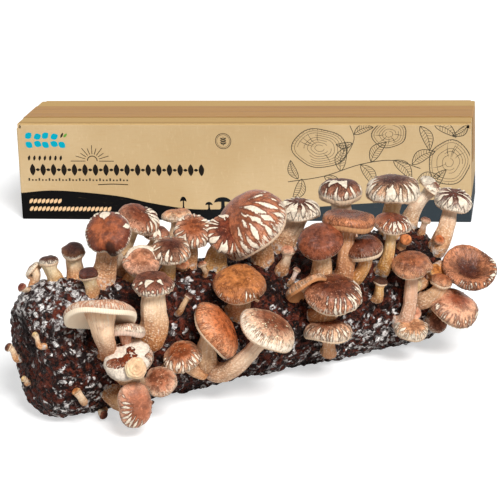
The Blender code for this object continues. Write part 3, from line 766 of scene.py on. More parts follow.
# name, cap form, foot, cap middle from the foot (along, front, up), cap width, lean, heading, stem,
# skin colour at the crown and at the rim, and what else differs from PLAIN
MUSHROOMS = (
    ("shiitake_01", "dome", on_wall(17, -25), (1, -1, 13), 15, 55, 305, 7, 0x966c50, 0xecd6ba, dict(
     fringe=(0.8, 0.5))),
    ("shiitake_02", "button", on_wall(31, -12), (-5, -1, 18), 14, 8, 270, 11, 0x3e241e, 0x704e3e, dict(
     fringe=(0.7, 0.7), speckle=0.8, top=0xf4dcb2, base=0xe2b67a)),
    ("shiitake_03", "button", on_wall(45, -8), (-2, 2, 24), 17, 18, 70, 12, 0x3c201c, 0x805840, dict(
     lenses=((90, 0.8, 0.13, 1.5), (35, 0.82, 0.12, 0.9), (150, 0.84, 0.12, 0.8)), fringe=(0.6, 0.86),
     top=0xf0d6b0)),
    ("shiitake_04", "button", on_wall(45, 25), (-3, 3, 18), 14, 9, 40, 10, 0x48201a, 0x683626, dict(
     fringe=(0.1, 0.9), gloss=0.26, top=0xecd0a0)),
    ("shiitake_05", "dome", on_wall(60, 9), (-1, 16, 42), 34, 53, 52, 13, 0x9a5838, 0x623022, dict(
     shape=lobed((266, -0.34, 0.42)), warm=0.7, fringe=(0.85, 0.88), lenses=((76, 0.62, 0.56, 0.42),
     (112, 0.8, 0.3, 0.16), (166, 0.74, 0.3, 0.24)), stripes=(15, 0.66, 0.08, 15, 60),
     folds=((252, 0.86, 1.1, 1.1),), speckle=0.7, top=0xf4c89e, base=0xe2ae82, gloss=0.32,
     taper=(0.72, 1.55, 1.4))),
    ("shiitake_06", "dome", on_wall(77, 6), (-3, -8, 25), 16, 33, 273, 8, 0xd6bc9e, 0xf4e4cc, dict(
     fringe=(0.9, 0.3), flakes=0.9, top=0xf0dcc4, base=0xceaa82)),
    ("shiitake_07", "dome", on_wall(85, -12), (9, 9, 42), 32, 30, 118, 9, 0x78422e, 0xc49074, dict(
     lenses=((160, 0.6, 0.6, 0.12), (180, 0.56, 0.8, 0.14), (200, 0.54, 0.86, 0.16),
     (220, 0.56, 0.86, 0.17), (240, 0.56, 0.86, 0.16), (259, 0.6, 0.8, 0.15), (276, 0.68, 0.6, 0.12),
     (292, 0.76, 0.4, 0.1)), fringe=(0.5, 0.88), top=0xf6e0bc, base=0xecbe86)),
    ("shiitake_08", "dome", on_wall(97, -5), (9, 8, 30), 20, 11, 108, 8, 0x6e3e2e, 0xb88268, dict(
     stripes=(7, 0.3, 0.15, 20, 60), lenses=((300, 0.6, 0.7, 0.2), (320, 0.6, 0.7, 0.2),
     (345, 0.6, 0.7, 0.22)), fringe=(0.5, 0.85))),
    ("shiitake_09", "dome", on_wall(106, 21), (-1, 12, 26), 29, 25, 73, 11, 0x5c3224, 0xcc987a, dict(
     stripes=(19, 0.42, 0.13, 270, 180), warm=0.6, fringe=(0.6, 0.85), top=0xf0d6aa, base=0xeab46c)),
    ("shiitake_10", "cushion", on_wall(78, 16), (5, 13, 19), 27, 40, 66, 8, 0xbc866c, 0xd6a892, dict(
     fringe=(0.4, 0.85), warm=0.6, stripes=(9, 0.5, 0.07, 90, 110), lenses=((98, 0.64, 0.26, 2.2),
     (48, 0.7, 0.22, 1.2), (140, 0.7, 0.22, 1.0)), top=0xf0d0a6, base=0xe4b074)),
    ("shiitake_11", "dome", on_wall(75, 75), (1, 13, 45), 29, 14, 69, 17, 0x683e30, 0xa4705c, dict(
     stripes=(17, 0.76, 0.11, 270, 100), lenses=((297, 0.5, 0.46, -0.46), (237, 0.52, 0.34, -0.28),
     (330, 0.66, 0.3, -0.14)), fringe=(0.7, 0.86), top=0xf6d8b4, base=0xce8e56, taper=(0.92, 1.3, 1.4))),
    ("shiitake_12", "shell", on_wall(41, 78), (-10, 20, 33), 51, 34, 244, 13, 0xb07a60, 0xcc9a80, dict(
     sides=360, fringe=(0.5, 0.3), gills=0xffeace, top=0xf8d4b0, base=0xbe7a4c, gloss=0.55, speckle=0.9,
     taper=(1.65, 0.96, 0.42), stain=0.5)),
    ("shiitake_13", "cushion", on_wall(57, 79), (-6, 18, 20), 28, 17, 226, 8, 0xac7a66, 0xc4947e, dict(
     fringe=(0.7, 0.3), speckle=0.6, gills=0xe2c4b0, top=0xe0a082)),
    ("shiitake_14", "dome", on_wall(53, 100), (-4, 24, 17), 35, 24, 37, 12, 0x7c3c26, 0xd6aa8c, dict(
     warm=0.95, scaly=0.84, fringe=(0.5, 0.6), flesh=0xffeeda)),
    ("shiitake_15", "button", on_wall(62, 107), (-16, 44, 23), 15, 65, 69, 9, 0xecceb2, 0xdeb89a, dict(
     ripples=0.3, fringe=(0.2, 0.7), gloss=0.55, speckle=0.1, stain=0.3, top=0xeed4b0)),
    ("shiitake_16", "dome", on_wall(117, 113), (-20, 13, 17), 29, 28, 50, 10, 0xa05c3a, 0xecbc9c, dict(
     warm=0.72, fringe=(0.3, 0.85), speckle=0.3, stripes=(15, 0.5, 0.1, 252, 85), top=0xecc49c)),
    ("shiitake_17", "dome", on_wall(89, 103), (-13, 17, -4), 24, 43, 55, 9, 0xa06850, 0xe2b69c, dict(
     fringe=(0.5, 0.7), speckle=0.3)),
    ("shiitake_18", "dome", on_wall(47, 120), (0, 41, 3), 33, 82, 89, 13, 0xac7058, 0xd2a088, dict(
     shape=twinned(90, 0.38, 0.62), gloss=0.24, fringe=(0.3, 0.9), lenses=((24, 0.56, 0.6, 0.12),
     (4, 0.6, 0.7, 0.13), (345, 0.6, 0.7, 0.12), (328, 0.62, 0.74, 0.11), (312, 0.66, 0.7, 0.12),
     (296, 0.68, 0.66, 0.11), (280, 0.72, 0.6, 0.1), (264, 0.76, 0.5, 0.09), (44, 0.7, 0.3, 0.06),
     (196, 0.84, 0.3, 0.06), (212, 0.84, 0.3, 0.06)), folds=((182, 0.85, 0.5, 0.5),), stain=0.6,
     top=0xd6a678, base=0xc49264)),
    ("shiitake_19", "dome", on_wall(119, 107), (3, 19, 30), 44, 58, 140, 13, 0xb46840, 0xce926c, dict(
     shape=lobed((140, -0.20, 0.5), (320, -0.1, 0.6)), gloss=0.3, fringe=(0.1, 0.9),
     folds=((138, 0.95, 0.7, 0.5),), speckle=0.15, top=0xe8c098, base=0xd6ac84)),
    ("shiitake_20", "dome", on_wall(126, 114), (29, 38, 34), 44, 34, 131, 13, 0x88543e, 0xecc4a8, dict(
     warm=0.62, fringe=(0.9, 0.66), speckle=0.9, top=0xf0d0b0, base=0xe8c09c)),
    ("shiitake_21", "dome", on_wall(149, 66), (-3, 13, 26), 39, 25, 66, 14, 0xb27444, 0xa06846, dict(
     speckle=0.9, fringe=(0.3, 0.85), lenses=((320, 0.92, 0.3, 0.05), (250, 0.8, 0.36, 0.05),
     (258, 0.84, 0.4, 0.05), (242, 0.84, 0.36, 0.05)), folds=((232, 1.0, 0.4, 0.16),), top=0xecc89c)),
    ("shiitake_22", "dome", on_wall(149, 14), (3, 15, 29), 31, 48, 84, 13, 0x6e3624, 0xbe8264, dict(
     stripes=(17, 0.46, 0.17, 270, 180), fringe=(0.5, 0.88), top=0xf4d6a6, base=0xecb876,
     taper=(0.95, 1.35, 1.4))),
    ("shiitake_23", "dome", on_wall(131, 6), (-1, 10, 31), 28, 43, 68, 9, 0x925436, 0xce9c82, dict(
     stripes=(18, 0.48, 0.15, 270, 180), warm=0.6, fringe=(0.5, 0.85))),
    ("shiitake_24", "dome", on_wall(123, -25), (11, 0, 38), 23, 6, 283, 8, 0xc08662, 0xe6bea0, dict(
     fringe=(0.5, 0.8))),
    ("shiitake_25", "bell", on_wall(187, 17), (-13, 9, 33), 58, 41, 8, 14, 0xa26244, 0xba8062, dict(
     fringe=(0.6, 0.88), gloss=0.32, lenses=((118, 0.44, 0.34, 0.06), (108, 0.62, 0.3, 0.04),
     (126, 0.7, 0.28, 0.04), (140, 0.62, 0.5, 0.1), (158, 0.38, 0.56, 0.13), (168, 0.68, 0.36, 0.13),
     (184, 0.52, 0.4, 0.12), (182, 0.86, 0.34, 0.12), (200, 0.68, 0.46, 0.13), (214, 0.84, 0.44, 0.13),
     (230, 0.84, 0.44, 0.12), (244, 0.86, 0.4, 0.1), (256, 0.88, 0.36, 0.09), (152, 0.86, 0.3, 0.1),
     (130, 0.88, 0.26, 0.07), (208, 0.42, 0.3, 0.07), (224, 0.56, 0.3, 0.06), (192, 0.28, 0.22, 0.05),
     (174, 0.9, 0.24, 0.08), (270, 0.88, 0.34, 0.06), (284, 0.9, 0.3, 0.06)))),
    ("shiitake_26", "dome", on_wall(214, 0), (9, 9, 32), 32, 10, 76, 15, 0x704232, 0xecd6bc, dict(
     stripes=(13, 0.2, 0.2, 270, 180), fringe=(0.8, 0.6), top=0xe8ceb0, base=0xd6a478)),
    ("shiitake_27", "dome", on_wall(220, 54), (-3, 13, 38), 34, 37, 55, 13, 0x80462e, 0x844a32, dict(
     gloss=0.24, fringe=(0.2, 0.93), speckle=0.5, top=0xf4d2a6, base=0xe8b684)),
    ("shiitake_28", "cushion", on_wall(240, 54), (5, 8, 48), 39, 5, 172, 12, 0x6c3a24, 0xbe7c54, dict(
     warm=0.9, gloss=0.26, fringe=(0.1, 0.95), speckle=0.1, gills=0xce9668, top=0xd69c70, base=0xce966a)),
    ("shiitake_29", "button", on_wall(250, 58), (4, 14, 30), 27, 17, 27, 11, 0x623424, 0x7e4a32, dict(
     speckle=0.8, gloss=0.28, fringe=(0.3, 0.8), top=0xdca064, base=0xd69c5c)),
    ("shiitake_30", "dome", on_wall(278, 53), (5, 9, 39), 29, 11, 108, 9, 0x7c4028, 0xc88a68, dict(
     stripes=(13, 0.42, 0.13, 262, 88), gloss=0.28, fringe=(0.5, 0.88), top=0xeec890, base=0xdaa056)),
    ("shiitake_31", "button", on_wall(268, 1), (-1, -5, 38), 33, 2, 122, 15, 0x543028, 0xb07a60, dict(
     stripes=(12, 0.58, 0.162, 270, 180), lenses=((164, 0.4, 0.46, -0.42), (104, 0.42, 0.5, -0.5),
     (200, 0.5, 0.36, -0.2)), fringe=(0.6, 0.85), top=0xf0d6b8)),
    ("shiitake_32", "dome", on_wall(304, 8), (-3, 12, 40), 42, 8, 76, 14, 0x54342e, 0xe2b292, dict(
     stripes=(19, 0.46, 0.18, 270, 180), warm=0.62, fringe=(0.9, 0.78), top=0xe8c492, base=0xdcaa6e)),
    ("shiitake_33", "dome", on_wall(327, -1), (18, 6, 31), 25, 47, 160, 11, 0x96644e, 0xf0d6be, dict(
     scaly=0.5, fringe=(1.0, 0.3), flakes=0.9, top=0xf4dec4, base=0xeec8a0)),
    ("shiitake_34", "dome", on_wall(333, 40), (18, -2, 37), 30, 20, 91, 12, 0x60362e, 0xf0d6c4, dict(
     stripes=(12, 0.18, 0.2, 270, 180), fringe=(0.8, 0.7), top=0xeaceb2, base=0xe2b488)),
    ("shiitake_35", "funnel", on_wall(327, 63), (17, 18, 4), 44, 31, 76, 12, 0x4e281c, 0xba7a56, dict(
     warm=0.55, gloss=0.3, stripes=(25, 0.74, 0.045, 225, 90), fringe=(0.2, 0.9), speckle=0.2, stain=0.8)),
    ("shiitake_36", "dome", on_wall(287, 106), (6, 13, 48), 31, 20, 59, 10, 0x965c3e, 0xce9674, dict(
     shape=lobed((215, -0.26, 0.22), (140, -0.1, 0.4)), gloss=0.32, fringe=(0.2, 0.88), top=0xe2b08e,
     base=0xeac0a4, flakes=0.7)),
    ("shiitake_37", "button", on_wall(306, 88), (12, 14, 17), 17, 14, 144, 11, 0xa66848, 0xce9674, dict(
     fringe=(0.3, 0.85), top=0xdcb086, base=0xd6b08c)),
    ("shiitake_38", "dome", on_wall(322, 101), (5, 19, 6), 39, 30, 99, 11, 0x8e503a, 0xdaa688, dict(
     warm=0.42, gloss=0.34, stain=0.6, stripes=(29, 0.66, 0.05, 265, 120), fringe=(0.25, 0.9))),
    ("shiitake_39", "cushion", on_wall(298, 115), (-7, 17, 4), 26, 25, 85, 8, 0xce9e7e, 0xeac4a6, dict(
     stripes=(17, 0.5, 0.09, 270, 120), fringe=(0.7, 0.6))),
    ("shiitake_40", "button", on_wall(318, 110), (-1, 12, 0), 17, 63, 76, 8, 0x704636, 0xa0705a, dict(
     fringe=(0.5, 0.6))),
    ("shiitake_41", "dome", on_wall(216, 85), (4, 17, 22), 43, 21, 75, 16, 0x683826, 0xc48868, dict(
     warm=0.75, gloss=0.24, stripes=(13, 0.5, 0.11, 212, 70), lenses=((300, 0.7, 0.3, 0.06),),
     fringe=(0.4, 0.88), top=0xd69c6a, base=0xcc8e5c)),
    ("shiitake_42", "dome", on_wall(226, 122), (-10, 22, 21), 36, 3, 199, 9, 0x7c4834, 0xe2b496, dict(
     stripes=(23, 0.55, 0.072, 270, 180), warm=0.55, fringe=(0.6, 0.8), top=0xd69c6e)),
    ("shiitake_43", "shell", on_wall(224, 75), (-20, 7, 18), 33, 42, 281, 9, 0xce9874, 0xdca884, dict(
     sides=240, stripes=(29, 0.7, 0.036, 270, 180), gills=0xbe8254, fringe=(0.3, 0.85), base=0xbe8256)),
    ("pin_01", "pin", on_wall(9, -8), (-8, 4, 6), 7, 39, 12, 4, 0x783e34, 0xaa6e5a),
    ("pin_02", "pin", on_near_end(-17, -7), (-6, -3, 9), 7, 53, 343, 5, 0x542e22, 0x966446),
    ("pin_03", "pin", on_wall(25, 123), (-8, 9, 11), 6.5, 37, 350, 5, 0xce8654, 0xecbe8c),
    ("pin_04", "pin", on_wall(48, 150), (-6, 12, -1), 7, 100, 105, 5, 0x542c22, 0x82503c),
    ("pin_05", "pin", on_wall(103, 58), (5, 9, 15), 6, 33, 156, 4, 0x603e36, 0xa07260, dict(top=0xf6cea0)),
    ("pin_06", "pin", on_wall(137, 23), (-3, 2, 9), 7, 17, 320, 4, 0xb0745a, 0xd6a688),
    ("pin_07", "pin", on_wall(197, 34), (3, 5, 16), 11, 8, 144, 8, 0xd89a80, 0xe8bca4, dict(top=0xf0d4b4)),
    ("pin_08", "pin", on_wall(199, 49), (4, 4, 11), 6, 28, 172, 4, 0xa07060, 0xcea492, dict(top=0xf4dcce)),
    ("pin_09", "pin", on_wall(268, 78), (0, 7, 15), 11, 14, 144, 8, 0x3e241a, 0x543424, dict(
     fringe=(0.05, 0.95), speckle=0.0, top=0xdcaa68)),
    ("pin_10", "pin", on_wall(305, 30), (0, 6, 7), 10, 51, 78, 7, 0xd28a5c, 0xbe7850),
    ("pin_11", "pin", on_wall(329, 18), (2, 3, 12), 8, 20, 146, 5, 0x96685a, 0xceaa94, dict(top=0xe8ccb4)),
    ("pin_12", "pin", on_wall(332, 44), (-1, 5, 12), 9, 50, 71, 7, 0xbe7046, 0xe2b89c),
)

# Growths under 12 mm, past the part's limit of nodes.
BUDS = (
    ("bud_01", "pin", on_near_end(-2, -21.5), (-3, 1, 4), 5, 60, 350, 4, 0xdeba8c, 0xeccea6),
    ("bud_02", "pin", on_near_end(33, 17), (-4, -3, 9), 4.5, 30, 350, 4, 0xd6b086, 0xe6c8a0),
    ("bud_03", "dome", on_wall(123, 9), (-1, 3, 7), 12, 40, 75, 7, 0xce825c, 0xe8aa88),
    ("bud_04", "cushion", on_wall(320, 66), (1, 6, 5), 12, 50, 90, 8, 0xc4824a, 0xe0aa70),
    ("bud_05", "cushion", on_wall(309, 73), (-10, 8, 3), 11, 85, 60, 9, 0xe2be98, 0xeed4b6),
    ("bud_06", "dome", on_wall(299, 101), (0, 7, 3), 10, 60, 80, 6, 0xce9682, 0xe8bea8),
)


def build_mushrooms():
    for row in MUSHROOMS:
        piece = Mushroom(*row).build()
        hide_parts(row[0])
    for row in BUDS:
        Mushroom(*row).build()


def kraft_material():
    """Clouded board with long fibres, fluted a little, with painted shade that makes the top darker and
    warmer and darkens the crease of the flap.
    """
    n = Finish("kraft_board")
    fibres = n.noise(1.0, 4, 0.6, place=n.stretched((90, 90, 620)))
    cross = n.noise(1.0, 3, 0.6, place=n.stretched((700, 700, 160)))
    n.colour = n.mix(n.steps(n.noise(9, 2), 0.35, 0.7), linear(0xbca076), linear(0xc8ae86))
    n.coat(n.steps(fibres, 0.45, 0.75) * 0.28, linear(0xba9666))
    n.coat(n.steps(cross, 0.55, 0.8) * 0.22, linear(0xe2cba6))
    above = n.axis(2) - CARTON_HIGH.z
    off = n.math("ABSOLUTE", n.axis(1) - (CARTON_LOW.y + FLAP_CREASE))
    crease = n.steps(off, 3.0 * MM, 0.8 * MM) * n.steps(above, -2.0 * MM, -0.5 * MM)
    # painted shade: the top of the carton is darker and warmer
    n.coat(n.steps(above, -1.2 * MM, -0.2 * MM) * 0.80, linear(0xc29e65))
    # painted shade along the flap's crease
    n.coat(crease * 0.7, linear(0x9e7a4c))
    flutes = n.math("SINE", n.axis(0) * (2 * math.pi / FLUTE_PITCH))
    return n.done(cross * 0.15 + 0.72, flutes * 0.12 + fibres * 0.25 - crease, 0.25 * MM, 0.5, specular=0.12)


def ink_material(name, left, right, cover=1.0):
    """Flat ink on kraft: its tone drifts from the left to the right, and the fibres show a little."""
    n = Finish(name)
    n.colour = n.mix(n.steps(n.axis(0), -0.06, 0.10), linear(left), linear(right))
    fibres = n.noise(1.0, 4, 0.6, place=n.stretched((120, 120, 700)))
    n.coat(n.steps(fibres, 0.62, 0.85) * (0.22 * (2 - cover)), linear(0x967c58))
    return n.done(0.62, fibres, 0.1 * MM, 0.4, specular=0.07)


def tape_material():
    """Brown tape, streaked along its length, with painted shade where it sinks over the slot between the
    flaps.
    """
    n = Finish("kraft_tape")
    streaks = n.noise(1.0, 4, 0.6, place=n.stretched((6, 260, 260)))
    fine = n.noise(1.0, 3, 0.6, place=n.stretched((60, 700, 700)))
    n.colour = n.mix(n.steps(streaks, 0.3, 0.7), linear(0xa0733a), linear(0xb18448))
    seam = n.steps(n.math("ABSOLUTE", n.axis(1)), 1.6 * MM, 0.4 * MM)
    # painted shade where the tape sinks over the slot
    n.coat(seam * 0.25, linear(0x8a6238))
    n.coat(n.steps(fine, 0.55, 0.8) * 0.25, linear(0xd6b07e))
    return n.done(streaks * 0.2 + 0.36, streaks - seam, 0.2 * MM, 0.5, specular=0.12)


def smooth_line(points):
    pts = [Vector(p) for p in points]
    return catmull_rom([2 * pts[0] - pts[1], *pts, 2 * pts[-1] - pts[-2]], 6)


def arc(x, y, wide, high, end, step):
    """Points round (x, y) from its right side to the angle end, in degrees."""
    return [(x + wide * math.cos(math.radians(a)), y + high * math.sin(math.radians(a)))
            for a in range(0, end + 1, step)]


class Print:
    """Flat shapes on a panel, in millimetres across and up; every shape is cut flush into the board."""

    def __init__(self):
        self.shapes = []

    def fill(self, ink, points):
        self.shapes.append((ink, points))

    def stroke(self, ink, points, width, taper=False):
        pts = [Vector(p) for p in points]
        sides = []
        for i, p in enumerate(pts):
            ahead = pts[min(i + 1, len(pts) - 1)] - pts[max(i - 1, 0)]
            ahead.normalize()
            share = i / (len(pts) - 1)
            half = width / 2 * (math.sin(math.pi * min(0.96, max(0.06, share))) if taper else 1)
            across = Vector((-ahead.y, ahead.x)) * half
            sides.append((p + across, p - across))
        for (a, b), (c, d) in zip(sides, sides[1:]):
            self.fill(ink, [a, b, d, c])

    def leaf(self, ink, x, y, length, width, angle):
        """A solid pointed leaf from its stalk at (x, y)."""
        turn = Matrix.Rotation(math.radians(angle), 2)
        rim = [(k / 8 * length, width / 2 * math.sin(math.pi * k / 8) ** 0.8) for k in range(9)]
        rim += [(p[0], -p[1]) for p in rim[-2:0:-1]]
        self.fill(ink, [Vector((x, y)) + turn @ Vector(p) for p in rim])

    def leaves(self, ink, count, x, step, y, length, width, *angles):
        """A row of solid leaves that take the angles in turn."""
        for k in range(count):
            self.leaf(ink, x + step * k, y, length, width, angles[k % len(angles)])

    def drawn_leaf(self, x, y, length, angle, slender, veins):
        """An outlined leaf with its midrib and veins."""
        turn = Matrix.Rotation(math.radians(angle), 2)

        def at(t, side):
            swell = math.sin(math.pi * min(1, t ** 0.85)) ** 0.9
            bend = 0.12 * length * math.sin(math.pi * t)
            return Vector((x, y)) + turn @ Vector((t * length, side * length * slender / 2 * swell + bend))
        for side in (-1, 1):
            self.stroke("line", [at(k / 12, side) for k in range(13)], 0.75)
        self.stroke("line", [at(k / 8, 0) for k in range(9)], 0.55)
        for k in range(1, veins + 1):
            t = 0.08 + 0.78 * k / (veins + 1)
            for side in (-1, 1):
                self.stroke("line", [at(t, 0), at(t + 0.05, side * 0.45), at(t + 0.09, side * 0.86)], 0.4)

    def slice_of_wood(self, x, y, wide, high, rings, seed):
        """The sawn end of a branch: uneven rings, a few shakes and a hatched bark."""
        rng = random.Random(seed)
        phase = [rng.uniform(0, 6.28) for _ in range(3)]

        def at(share, turn):
            wobble = 1 + 0.05 * math.sin(2 * turn + phase[0]) + 0.03 * math.sin(5 * turn + phase[1])
            return (x + wide * share * wobble * math.cos(turn), y + high * share * wobble * math.sin(turn))
        for k in range(rings):
            share = ((k + 1) / rings) ** 0.85
            count = 16 + 3 * k
            start = rng.uniform(0, 6.28)
            sweep = 2 * math.pi if k in (rings - 1, rings - 2) else rng.uniform(3.6, 5.9)
            self.stroke("line", [at(share, start + sweep * i / count) for i in range(count + 1)],
                        0.8 if k == rings - 1 else 0.42)
        for k in range(5):
            turn = rng.uniform(0, 6.28)
            self.stroke("line", [at(0.12 + rng.uniform(0, 0.2), turn), at(0.5, turn + 0.06),
                                 at(0.88, turn - 0.04)], 0.7, taper=True)
        for k in range(46):
            turn = 2 * math.pi * k / 46 + rng.uniform(-0.04, 0.04)
            if math.sin(turn + phase[2]) > -0.35:
                self.stroke("line", [at(0.93, turn), at(1.0, turn)], 0.4)

    def mushroom(self, x, foot, top, wide):
        """A plain toadstool silhouette."""
        brim = foot + (top - foot) * 0.55
        rise = top - brim
        self.fill("band", arc(x, brim, wide / 2, rise, 180, 20)
                  + [(x - wide * 0.25, brim + 0.14 * rise), (x + wide * 0.25, brim + 0.14 * rise)])
        right = [(wide * 0.24, foot - 1), (wide * 0.11, foot + 1.5), (wide * 0.10, brim),
                 (wide * 0.10, brim + 0.3 * rise)]
        self.fill("band", [(x + a, b) for a, b in right] + [(x - a, b) for a, b in right[::-1]])


def front_print(reach):
    art = Print()
    wave = smooth_line([(-reach, BAND_LEFT), (-187, 30), (-128, 25), (-94, 18), (-64, 13), (-47, 11.5),
                        (-28, 11.5), (12, 12.5), (57, 13.5), (114, 18), (185, 22.5), (reach, BAND_RIGHT)])
    art.fill("band", [(-reach, 0), (reach, 0)] + wave[::-1])
    for toadstool in ((-59.3, 13, 24.4, 6.5), (-33.6, 11.5, 19.2, 7.5), (-19.6, 11.5, 24.2, 17.5)):
        art.mushroom(*toadstool)

    # rows of leaves: ink, how many, the first one's place across and the step, height, length, width, angles
    for row in (("ink", 17, -211, 10.7, 45.2, 12.4, 5.6, 90), ("ink", 16, -207.9, 10.7, 51.4, 4.5, 3.0, 0),
                ("ink", 7, -214.5, 5.4, 60.6, 5.8, 2.6, 78), ("teal", 4, -216.5, 8.6, 83.6, 8.4, 6.6, 40, 24),
                ("ink", 1, -180.5, 0, 84, 6, 2.2, 62), ("green", 1, -177.5, 0, 84.5, 5.5, 2.6, 48),
                ("teal", 5, -216.5, 8.4, 79.6, 8.6, 6.6, -38, -24),
                ("light", 8, -216.5, 4.2, 16.6, 6.2, 3.2, 52), ("light", 20, -216.5, 4.2, 8.6, 6.2, 3.2, 52)):
        art.leaves(*row)
    for k in range(30):
        x, high = -216 + 3.45 * k, 40 + (1.6 if k % 3 else 2.8)
        art.fill("line", [(x, 40), (x + 1.7, 40), (x + 1.7, high), (x, high)])
    art.stroke("ink", smooth_line([(-145, 36.2), (-130, 36.9), (-114.5, 36.4)]), 0.9)

    sun_x, sun_y = -149.5, 60.6
    art.stroke("ink", arc(sun_x, sun_y, 5, 5, 180, 20), 0.9)
    for k in range(9):
        turn = math.radians(18 + 18 * k)
        far = 14.5 if k % 2 else 17.5
        art.stroke("ink", [(sun_x + r * math.cos(turn), sun_y + r * math.sin(turn) * 0.92)
                           for r in (7.5, (7.5 + far) / 2, far)], 0.7)
    for low, high in ((-171.5, -156.5), (-142.5, -127.5)):
        art.stroke("ink", [(low, 60.4), ((low + high) / 2, 60.4), (high, 60.4)], 0.7)

    twig_x, ring_y = -17, 81
    for radius, width in ((7.7, 0.7), (6.4, 0.4)):
        art.stroke("line", arc(twig_x, ring_y, radius, radius, 360, 15), width)
    art.stroke("line", [(twig_x, 76.3), (twig_x, 80), (twig_x, 85.5)], 0.6)
    for angle in (35, 145):
        for k in range(3):
            art.leaf("line", twig_x, 77.6 + 2.3 * k, 3.8, 1.7, angle)

    for number, slab in (("one", (78, 74, 26, 20, 8)), ("two", (146, 88, 17, 13, 6)),
                         ("three", (204, 60, 20, 22, 7))):
        art.slice_of_wood(*slab, "slice " + number)
    art.stroke("line", smooth_line([(46, 40), (82, 46), (118, 58), (150, 62), (176, 54)]), 0.8)
    art.stroke("line", smooth_line([(108, 97), (112, 84), (106, 70), (96, 58)]), 0.7)
    for leaf in ((60, 43, 24, 245), (82, 46, 22, -42), (98, 51, 26, 74), (118, 57.5, 26, -60),
                 (128, 60.5, 25, 52), (150, 62, 26, -48), (56, 43, 20, 110), (168, 58, 26, 30)):
        art.drawn_leaf(*leaf, slender=0.42, veins=7)
    for leaf in ((112, 88, 20, 20), (110, 79, 16, 185), (176, 96, 26, -70), (190, 97, 24, -30),
                 (222, 97, 18, 215), (172, 40, 24, 15), (190, 34, 22, 60)):
        art.drawn_leaf(*leaf, slender=0.4, veins=6)
    return art.shapes


# The printed carton's materials; where shapes overlap, the ink with the highest rank shows.
# name: rank, colour at the carton's left and at its right, how well it covers; kraft is the bare board
INKS = {
    "kraft": (0, None), "band": (2, 0x090808, 0x323a3f), "ink": (3, 0x1e1812, 0x1e1812),
    "teal": (4, 0x009eb2, 0x009eb2), "green": (5, 0x62963c, 0x62963c),
    "light": (6, 0xe0ba8e, 0xe0ba8e), "line": (1, 0x3a3226, 0x464034, 0.6),
}


def panel(bm, outline, shapes, place):
    """One flat side of the carton, cut along its print; place turns (across, up) into a point."""
    verts, faces, inks = [], [], []
    for ink, points in [("kraft", outline)] + shapes:
        area = sum(a[0] * b[1] - b[0] * a[1] for a, b in zip(points, points[1:] + points[:1]))
        if area < 0:
            points = points[::-1]
        faces.append(list(range(len(verts), len(verts) + len(points))))
        verts += [Vector((p[0], p[1])) for p in points]
        inks.append(ink)
    out = delaunay_2d_cdt(verts, [], faces, 0, 1e-4)
    corners = [bm.verts.new(place(v.x * MM, v.y * MM)) for v in out[0]]
    for face, origins in zip(out[2], out[5]):
        if 0 not in origins:
            continue
        ink = max((inks[i] for i in origins), key=lambda name: INKS[name][0])
        made = bm.faces.new([corners[i] for i in face])
        made.material_index = list(INKS).index(ink)
        made.normal_update()


def lies_on(face, axis, edge):
    return all(abs(v.co[axis] - edge) < 1e-6 for v in face.verts)


def paint_folds(bm):
    """Carry the band round the carton's upright folds, cut off at its height, and over its lower ones."""
    high = CARTON_HIGH - Vector((1, 1, 1)) * FOLD_RADIUS
    levels = {True: BAND_LEFT * MM, False: BAND_RIGHT * MM}
    for left, level in levels.items():
        strip = []
        for face in bm.faces:
            c = face.calc_center_median()
            if (c.x < 0) == left and abs(c.x) > high.x and abs(c.y) > high.y:
                strip.append(face)
        geom = list({v for f in strip for v in f.verts} | {e for f in strip for e in f.edges}) + strip
        bmesh.ops.bisect_plane(bm, geom=geom, plane_co=(0, 0, level), plane_no=(0, 0, 1))
    slack = 0.01 * FOLD_RADIUS
    band, lower_fold = list(INKS).index("band"), 5 * MM
    for face in bm.faces:
        c = face.calc_center_median()
        at_end = abs(c.x) > high.x - slack
        rim = at_end or abs(c.y) > high.y - slack
        painted = rim and c.z < (levels[c.x < 0] if at_end else lower_fold)
        face.material_index = band if painted else 0


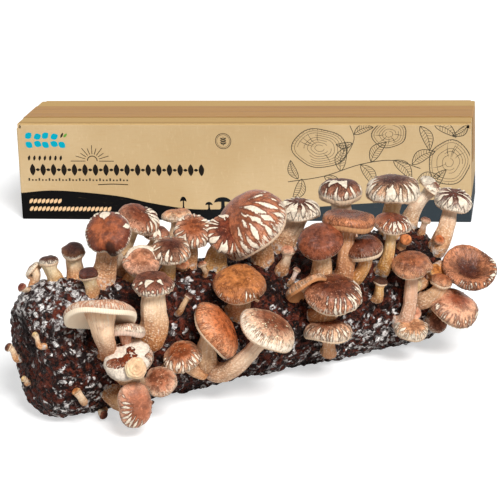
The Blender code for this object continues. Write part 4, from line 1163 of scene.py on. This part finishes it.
def build_carton():
    """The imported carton's own skin, with its four outer sides cut again along the print."""
    low, high = CARTON_LOW, CARTON_HIGH
    sides = [(axis, edge) for axis in (0, 1) for edge in (low[axis], high[axis])]
    bm = bmesh.new()
    bm.from_mesh(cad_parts["carton"].data)
    bmesh.ops.remove_doubles(bm, verts=bm.verts, dist=1e-6)
    gone = [face for face in bm.faces if any(lies_on(face, *side) for side in sides)]
    bmesh.ops.delete(bm, geom=gone, context="FACES")
    paint_folds(bm)

    reach, deep, head = (v / MM for v in (high - Vector((1, 1, 1)) * FOLD_RADIUS))
    notch = (BOARD + CORNER_RELIEF) / MM
    tall, foot = high.z / MM, FOLD_RADIUS / MM

    def outline(half, side):
        inner, lower = side / MM - notch, tall - notch
        return [(-half, foot), (half, foot), (half, lower), (inner, lower), (inner, head), (-inner, head),
                (-inner, lower), (-half, lower)]

    def end_band(level):
        return [("band", [(-deep, 0), (deep, 0), (deep, level), (-deep, level)])]
    wave = smooth_line([(-reach, BAND_RIGHT), (-120, 20), (0, 26), (120, 31), (reach, BAND_LEFT)])
    back = [("band", [(-reach, 0), (reach, 0)] + wave[::-1])]
    panel(bm, outline(reach, high.x), front_print(reach), lambda a, b: (a, low.y, b))
    panel(bm, outline(reach, high.x), back, lambda a, b: (-a, high.y, b))
    panel(bm, outline(deep, high.y), end_band(BAND_RIGHT), lambda a, b: (high.x, a, b))
    panel(bm, outline(deep, high.y), end_band(BAND_LEFT), lambda a, b: (low.x, -a, b))
    for face in bm.faces:
        for axis, edge in sides:
            if lies_on(face, axis, edge):
                face.normal_update()
                if face.normal[axis] * edge < 0:
                    face.normal_flip()
    mesh = bpy.data.meshes.new("printed_carton")
    bm.to_mesh(mesh)
    bm.free()
    mesh.materials.append(kraft_material())
    for name, (_, *tones) in list(INKS.items())[1:]:
        mesh.materials.append(ink_material("carton_" + name, *tones))
    obj = add_object("printed_carton", mesh)
    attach(obj, "root")
    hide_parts("carton")
    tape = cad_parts["sealing_tape"]
    tape.data.materials.clear()
    tape.data.materials.append(tape_material())


def build_world():
    """Even white light: faint on the pieces, full where the camera, a gloss or a clear piece sees it."""
    world = bpy.data.worlds.new("studio")
    bpy.context.scene.world = world
    n = Nodes(world)
    n.tree.nodes.clear()
    fill, seen = (n.add("ShaderNodeBackground", {"Color": (1, 1, 1), "Strength": strength})
                  for strength in (FILL_STRENGTH, 1))
    direct = n.math("MAXIMUM", n.ray("Is Camera Ray"), n.ray("Is Transmission Ray"))
    plain = n.math("MAXIMUM", direct, n.ray("Is Glossy Ray"))
    n.add("ShaderNodeOutputWorld", {"Surface": n.blend(plain, fill, seen)})


def floor_material():
    """White paper that the camera sees a little brighter, so that only its shadows show."""
    n = Nodes(bpy.data.materials.new("white_floor"))
    n.tree.nodes.clear()
    paper, seen_paper = (n.add("ShaderNodeBsdfDiffuse", {"Color": (grey, grey, grey)})
                         for grey in (PAPER, SEEN_PAPER))
    glow = n.add("ShaderNodeEmission", {"Color": (1, 1, 1), "Strength": PAPER_GLOW})
    lit = n.add("ShaderNodeAddShader", {0: seen_paper, 1: glow})
    n.add("ShaderNodeOutputMaterial", {"Surface": n.blend(n.ray("Is Camera Ray"), paper, lit)})
    return n.owner


def build_stage():
    build_world()
    floor = piece_from("floor", [(-9, -9, 0), (9, -9, 0), (9, 9, 0), (-9, 9, 0)], [(0, 1, 2, 3)],
                       [floor_material()], smooth=False)
    for name, strength, angle, direction in LAMPS:
        data = bpy.data.lights.new(name, "SUN")
        data.energy = strength
        data.angle = math.radians(angle)
        lamp = add_object(name, data)
        lamp.rotation_mode = "QUATERNION"
        lamp.rotation_quaternion = Vector(direction).to_track_quat("-Z", "Y")


make_camera()
build_stage()
build_carton()
build_log()
build_mushrooms()
bpy.context.scene.view_settings.view_transform = "Standard"
